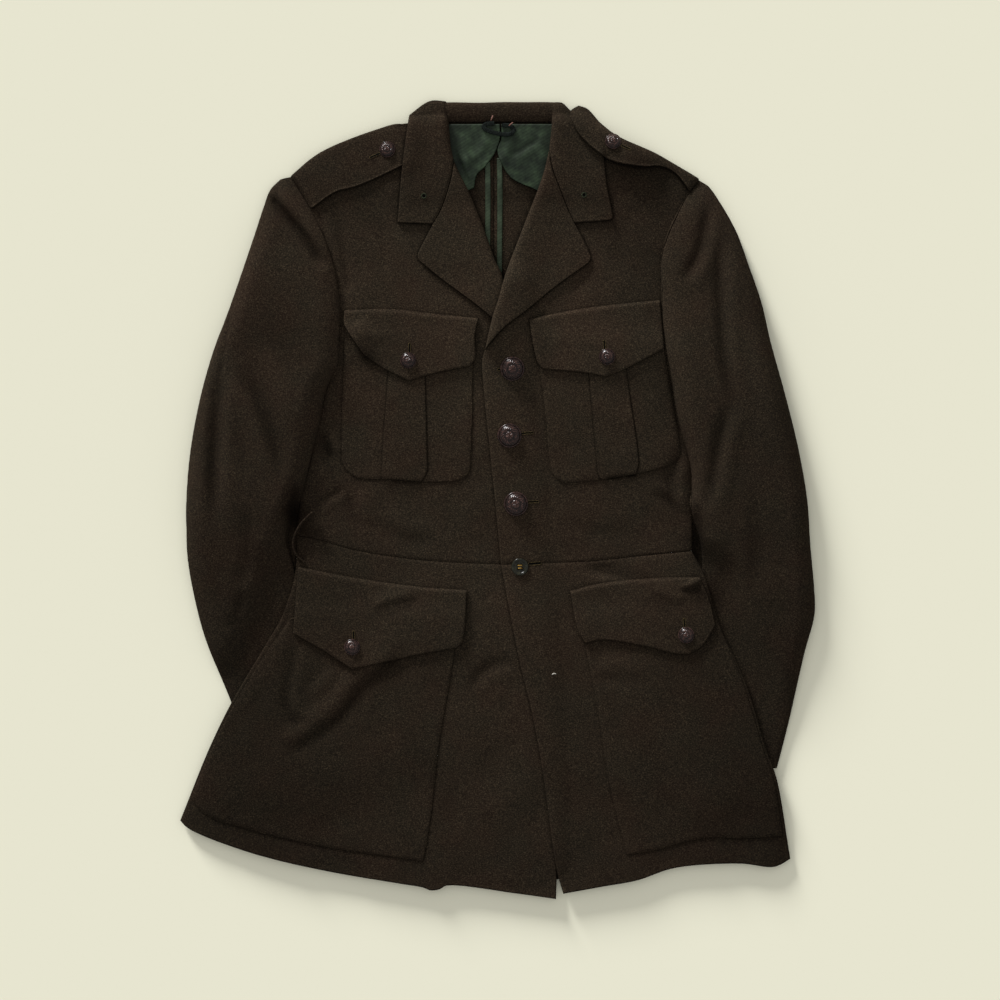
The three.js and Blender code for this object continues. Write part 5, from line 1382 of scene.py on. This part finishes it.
def domedButton(size):
    # Rings from the middle of the dome out over a rolled rim and in again under it
    radius, rim, height = size["diameter"] / 2, size["rim"], size["height"]
    angle = np.linspace(0, 2 * np.pi, 96, endpoint=False)
    share = np.concatenate([[0.004], np.linspace(0.03, 0.88, 30)])
    dome = mix(0.55 * rim, height - 0.6, np.sqrt(1 - (share / 0.9) ** 2 * 0.99))
    relief = wreathRelief(share[:, None], angle[None, :], radius / 12.7)
    top = np.stack([
        radius * share[:, None] * np.cos(angle), radius * share[:, None] * np.sin(angle),
        dome[:, None] + relief], -1)
    turn = np.linspace(0.95 * np.pi, -0.5 * np.pi, 12)
    edge = np.stack([
        radius - 0.09 * radius + 0.09 * radius * np.cos(turn), rim * 0.55 + 0.55 * rim * np.sin(turn)], -1)
    lower = np.vstack([edge, [(radius * 0.6, 0.0), (radius * 0.02, 0.0)]])
    under = np.stack([lower[:, :1] * np.cos(angle), lower[:, :1] * np.sin(angle),
                      np.broadcast_to(lower[:, 1:], (len(lower), len(angle)))], -1)
    grid = np.vstack([top, under])
    # Painted shade in the hollows of the relief and painted highlight on its raised work; the underside keeps
    # its colour
    reliefPaintedLight = np.vstack([
        mix(0.2, 2.0, clamp(relief / (0.6 * radius / 12.7))), np.ones((len(lower), len(angle)))])
    return grid, reliefPaintedLight


def holedButton(size):
    # A flat disc with a raised rim and four sunk holes
    radius, height = size["diameter"] / 2, size["height"]
    angle = np.linspace(0, 2 * np.pi, 96, endpoint=False)
    r = np.concatenate([[0.02], np.linspace(0.3, radius - 0.3, 44)])
    rim, edge = ease((r - 0.62 * radius) / (0.16 * radius)), ease((r - 0.9 * radius) / (0.1 * radius))
    dish = height - 0.9 + 0.9 * rim - 0.5 * edge
    x, y = r[:, None] * np.cos(angle), r[:, None] * np.sin(angle)
    reach = size["holeReach"] / math.sqrt(2)
    near = np.minimum.reduce([np.hypot(x - a * reach, y - b * reach) for a in (-1, 1) for b in (-1, 1)])
    sunk = 1 - ease((near - 0.45 * size["hole"]) / 0.5)
    top = np.stack([x, y, dish[:, None] - 1.3 * sunk], -1)
    lower = np.array([(radius, height * 0.5), (radius - 0.3, 0.2), (radius - 0.8, 0.0), (0.02, 0.0)])
    under = np.stack([lower[:, :1] * np.cos(angle), lower[:, :1] * np.sin(angle),
                      np.broadcast_to(lower[:, 1:], (4, len(angle)))], -1)
    # The sunk holes are painted in shade
    return np.vstack([top, under]), np.vstack([1 - 0.85 * sunk, np.ones((4, len(angle)))])


largeButton = {"diameter": 25.4, "rim": 2.4, "height": 7.4}
smallButton = {"diameter": 17, "rim": 1.8, "height": 5.4}
flatButton = {"diameter": 18, "rim": 1.2, "height": 3, "hole": 2.2, "holeReach": 2.5}
waistAt = (22.9, -70.7)
buttons = [
    {"node": "button_front_1", "at": (15, 135.5), "size": largeButton, "turn": 12},
    {"node": "button_front_2", "at": (12, 66), "size": largeButton, "turn": -24},
    {"node": "button_front_3", "at": (18.7, -5), "size": largeButton, "turn": 33},
    {"node": "button_waist", "at": waistAt, "size": flatButton, "turn": 8},
    {"node": "button_chest_left", "at": (-93.1, 144), "size": smallButton, "turn": 20},
    {"node": "button_chest_right", "at": (113.4, 147.7), "size": smallButton, "turn": -12},
    {"node": "button_lower_left", "at": (-151.4, -153.9), "size": smallButton, "turn": 5},
    {"node": "button_lower_right", "at": (195.5, -141.4), "size": smallButton, "turn": -30},
    {"node": "button_strap_left", "at": (-114.9, 363.6), "size": smallButton, "turn": 15},
    {"node": "button_strap_right", "at": (119.6, 371.3), "size": smallButton, "turn": 40},
]
for button in buttons:
    size, (x, y) = button["size"], button["at"]
    flat = size is flatButton
    grid, shade = holedButton(size) if flat else domedButton(size)
    points = placed(turned(grid.reshape(-1, 3), button["turn"]), x, y, size["diameter"] / 2)
    made = newObject(camel(button["node"]), points, gridQuads(*grid.shape[:2], closeColumns=True),
                     greenHorn if flat else brownHorn, shade.ravel())
    fitted(made, button["node"])
print("buttons placed")


# Thread work
def ringMesh(path, radius, ripples, lift):
    # A closed tube round a path, rippled where each stitch crosses it
    line = evenly(np.vstack([path, path[:1]]), 97)[:-1]
    along = np.roll(line, -1, 0) - np.roll(line, 1, 0)
    along /= np.linalg.norm(along, axis=1)[:, None]
    out = np.stack([along[:, 1], -along[:, 0]], -1)
    angle = np.linspace(0, 2 * np.pi, 8, endpoint=False)
    swell = radius * (1 + 0.22 * np.cos(np.linspace(0, 2 * np.pi * ripples, 96, endpoint=False)))
    x = line[:, None, 0] + out[:, None, 0] * swell[:, None] * np.cos(angle)
    y = line[:, None, 1] + out[:, None, 1] * swell[:, None] * np.cos(angle)
    z = lift + 0.6 * swell[:, None] * np.sin(angle)
    quads = gridQuads(96, 8, closeColumns=True)
    closing = np.stack([
        95 * 8 + np.arange(8), np.arange(8), (np.arange(8) + 1) % 8, 95 * 8 + (np.arange(8) + 1) % 8], -1)
    return np.stack([x, y, z], -1).reshape(-1, 3), np.vstack([quads, closing])


def stadium(length, width, count=48):
    # Two half circles joined by straight sides
    angle = np.linspace(0, 2 * np.pi, count, endpoint=False)
    half = max(0.0, (length - width) / 2)
    return np.stack([np.sign(np.cos(angle)) * half + width / 2 * np.cos(angle), width / 2 * np.sin(angle)], -1)


def wornHole(name, x, y, turn, length, width, thread, material):
    # A worked hole: a corded edge of stitches round a slit, drawn as a sheet of painted shade
    path = stadium(length, width)
    ring, ringQuads = ringMesh(path, thread, max(8, int(length * 1.6)), 0.25)
    inner = path * (1 - 0.3 * thread / width)
    count = len(inner)
    slitShade = np.column_stack([inner, np.full(count, 0.3)])
    slitShadeQuads = capQuads(count) + len(ring)
    local = turned(np.vstack([ring, slitShade]), turn)
    px, py = x + local[:, 0], y + local[:, 1]
    points = np.stack([px, py, sample(ground, px, py) + local[:, 2]], -1)
    shade = np.concatenate([np.ones(len(ring)), np.full(count, 0.03)])
    fitted(newObject(name, points, np.vstack([ringQuads, slitShadeQuads]), material, shade))


buttonholes = [
    {"name": "holeFront1", "at": (5.9, 134.4), "turn": 0, "length": 13},
    {"name": "holeFront2", "at": (29.5, 68.5), "turn": 4, "length": 15},
    {"name": "holeFront3", "at": (35.0, -3.0), "turn": 2, "length": 15},
    {"name": "holeWaist", "at": (38.5, -67.2), "turn": 4, "length": 14, "width": 3.0},
    {"name": "holeChestLeft", "at": (-91.8, 156.5), "turn": 90, "length": 11},
    {"name": "holeChestRight", "at": (110.6, 159.5), "turn": 94, "length": 11},
    {"name": "holeLowerLeft", "at": (-149.9, -142.5), "turn": 92, "length": 11},
    {"name": "holeLowerRight", "at": (193.8, -129.5), "turn": 96, "length": 11},
    {"name": "holeStrapLeft", "at": (-128.0, 357.4), "turn": 24, "length": 12},
    {"name": "holeStrapRight", "at": (133.0, 365.0), "turn": -24, "length": 11},
]
for hole in buttonholes:
    x, y = hole["at"]
    wornHole(hole["name"], x, y, hole["turn"], hole["length"], hole.get("width", 2.2), 0.32, holeThread)
for name, x, y in (("eyeletLeft", -77, 315), ("eyeletRight", 89.5, 316)):
    wornHole(name, x, y, 0, 4.6, 4.6, 0.6, greenThread)

# Two stitches that cross the waist button's holes
stitchPath = [(-1.9, 0, 1.6), (-1.5, 0, 2.7), (0, 0, 3.1), (1.5, 0, 2.7), (1.9, 0, 1.6)]
for k, (dx, dy) in enumerate(((0, 1.5), (0.2, -1.3))):
    points, quads = stripMesh(stitchPath, 1.3, 0.9)
    points = placed(points + (dx, dy, 0), *waistAt, flatButton["diameter"] / 2)
    fitted(newObject("buttonThread%d" % (k + 1), points, quads, goldThread))

# Two tacks that hold the hanger, one through the stand of the collar
tack = {"half": 2.6, "width": 1.2, "thick": 0.7, "onStand": 6.9, "standFrom": 392.8, "clear": 2.4}
for k, (x, y, degrees) in enumerate(((-6.3, 397.2, 70), (13.5, 390.5, 40))):
    z = tack["onStand"] if y > tack["standFrom"] else surfaceAt(x, y, 1) + tack["clear"]
    angle = math.radians(degrees)
    dx, dy = tack["half"] * math.cos(angle), tack["half"] * math.sin(angle)
    line = [(x - dx, y - dy, z), (x, y, z + 0.4), (x + dx, y + dy, z)]
    points, quads = stripMesh(line, tack["width"], tack["thick"])
    fitted(newObject("hangerTack%d" % (k + 1), points, quads, pinkThread))

# A pale speck of lint on the skirt
lintX, lintY = 58.2, -182.0
lintZ = surfaceAt(lintX, lintY, 1)
lintPath = [
    (lintX - 2, lintY - 0.6, lintZ + 0.2), (lintX, lintY + 0.5, lintZ + 0.9), (lintX + 2, lintY, lintZ + 0.3)]
points, quads = stripMesh(lintPath, 0.8, 0.5)
lint = sewingThread("lint", {"base": "#9A9488", "light": "#E8E4DA", "twistMm": 0.7})
fitted(newObject("lintOnSkirt", points, quads, lint))
print("thread work done")

# Floor, light and camera
floorMesh = bpy.data.meshes.new("floor")
floorHalf = 6.0
floorCorners = [(floorHalf * x, floorHalf * y, 0) for x, y in ((-1, -1), (1, -1), (1, 1), (-1, 1))]
floorMesh.from_pydata(floorCorners, [], [(0, 1, 2, 3)])
floor = bpy.data.objects.new("floor", floorMesh)
bpy.context.scene.collection.objects.link(floor)
paper, tree = newMaterial("paleBackdropPaper")  # matt cream paper
paperSkin = node(tree, "ShaderNodeBsdfPrincipled", inputs={
    "Base Color": linear("#E7E5D0"), "Roughness": 0.95, "Specular IOR Level": 0.02})
node(tree, "ShaderNodeOutputMaterial", inputs={"Surface": paperSkin.outputs["BSDF"]})
floorMesh.materials.append(paper)

# A wide soft window from the upper left, low enough for folds and edges to throw a shadow
window = {"azimuth": 117.0, "elevation": 11.0, "spreadDegrees": 12.0, "share": 0.38}
sun = bpy.data.lights.new("windowLight", "SUN")
sun.angle = math.radians(window["spreadDegrees"])
sun.energy = math.pi * window["share"] / math.sin(math.radians(window["elevation"]))
lamp = bpy.data.objects.new("windowLight", sun)
lamp.rotation_euler = (math.radians(90 - window["elevation"]), 0, math.radians(window["azimuth"] + 90))
bpy.context.scene.collection.objects.link(lamp)
world = bpy.data.worlds.new("studio")
world.use_nodes = True
world.node_tree.nodes["Background"].inputs["Color"].default_value = linear("#FFFFFF")
world.node_tree.nodes["Background"].inputs["Strength"].default_value = 1 - window["share"]
bpy.context.scene.world = world
bpy.context.scene.view_settings.view_transform = "Standard"

view = {"frameWidth": 1.04, "height": 2.8, "planeZ": 0.012, "centre": (0.0021, -0.0010)}
cameraData = bpy.data.cameras.new("camera")
cameraData.sensor_width = 36.0
cameraData.lens = 36.0 * (view["height"] - view["planeZ"]) / view["frameWidth"]
camera = bpy.data.objects.new("camera", cameraData)
camera.location = (view["centre"][0], view["centre"][1], view["height"])
bpy.context.scene.collection.objects.link(camera)
bpy.context.scene.camera = camera
print("scene lit")
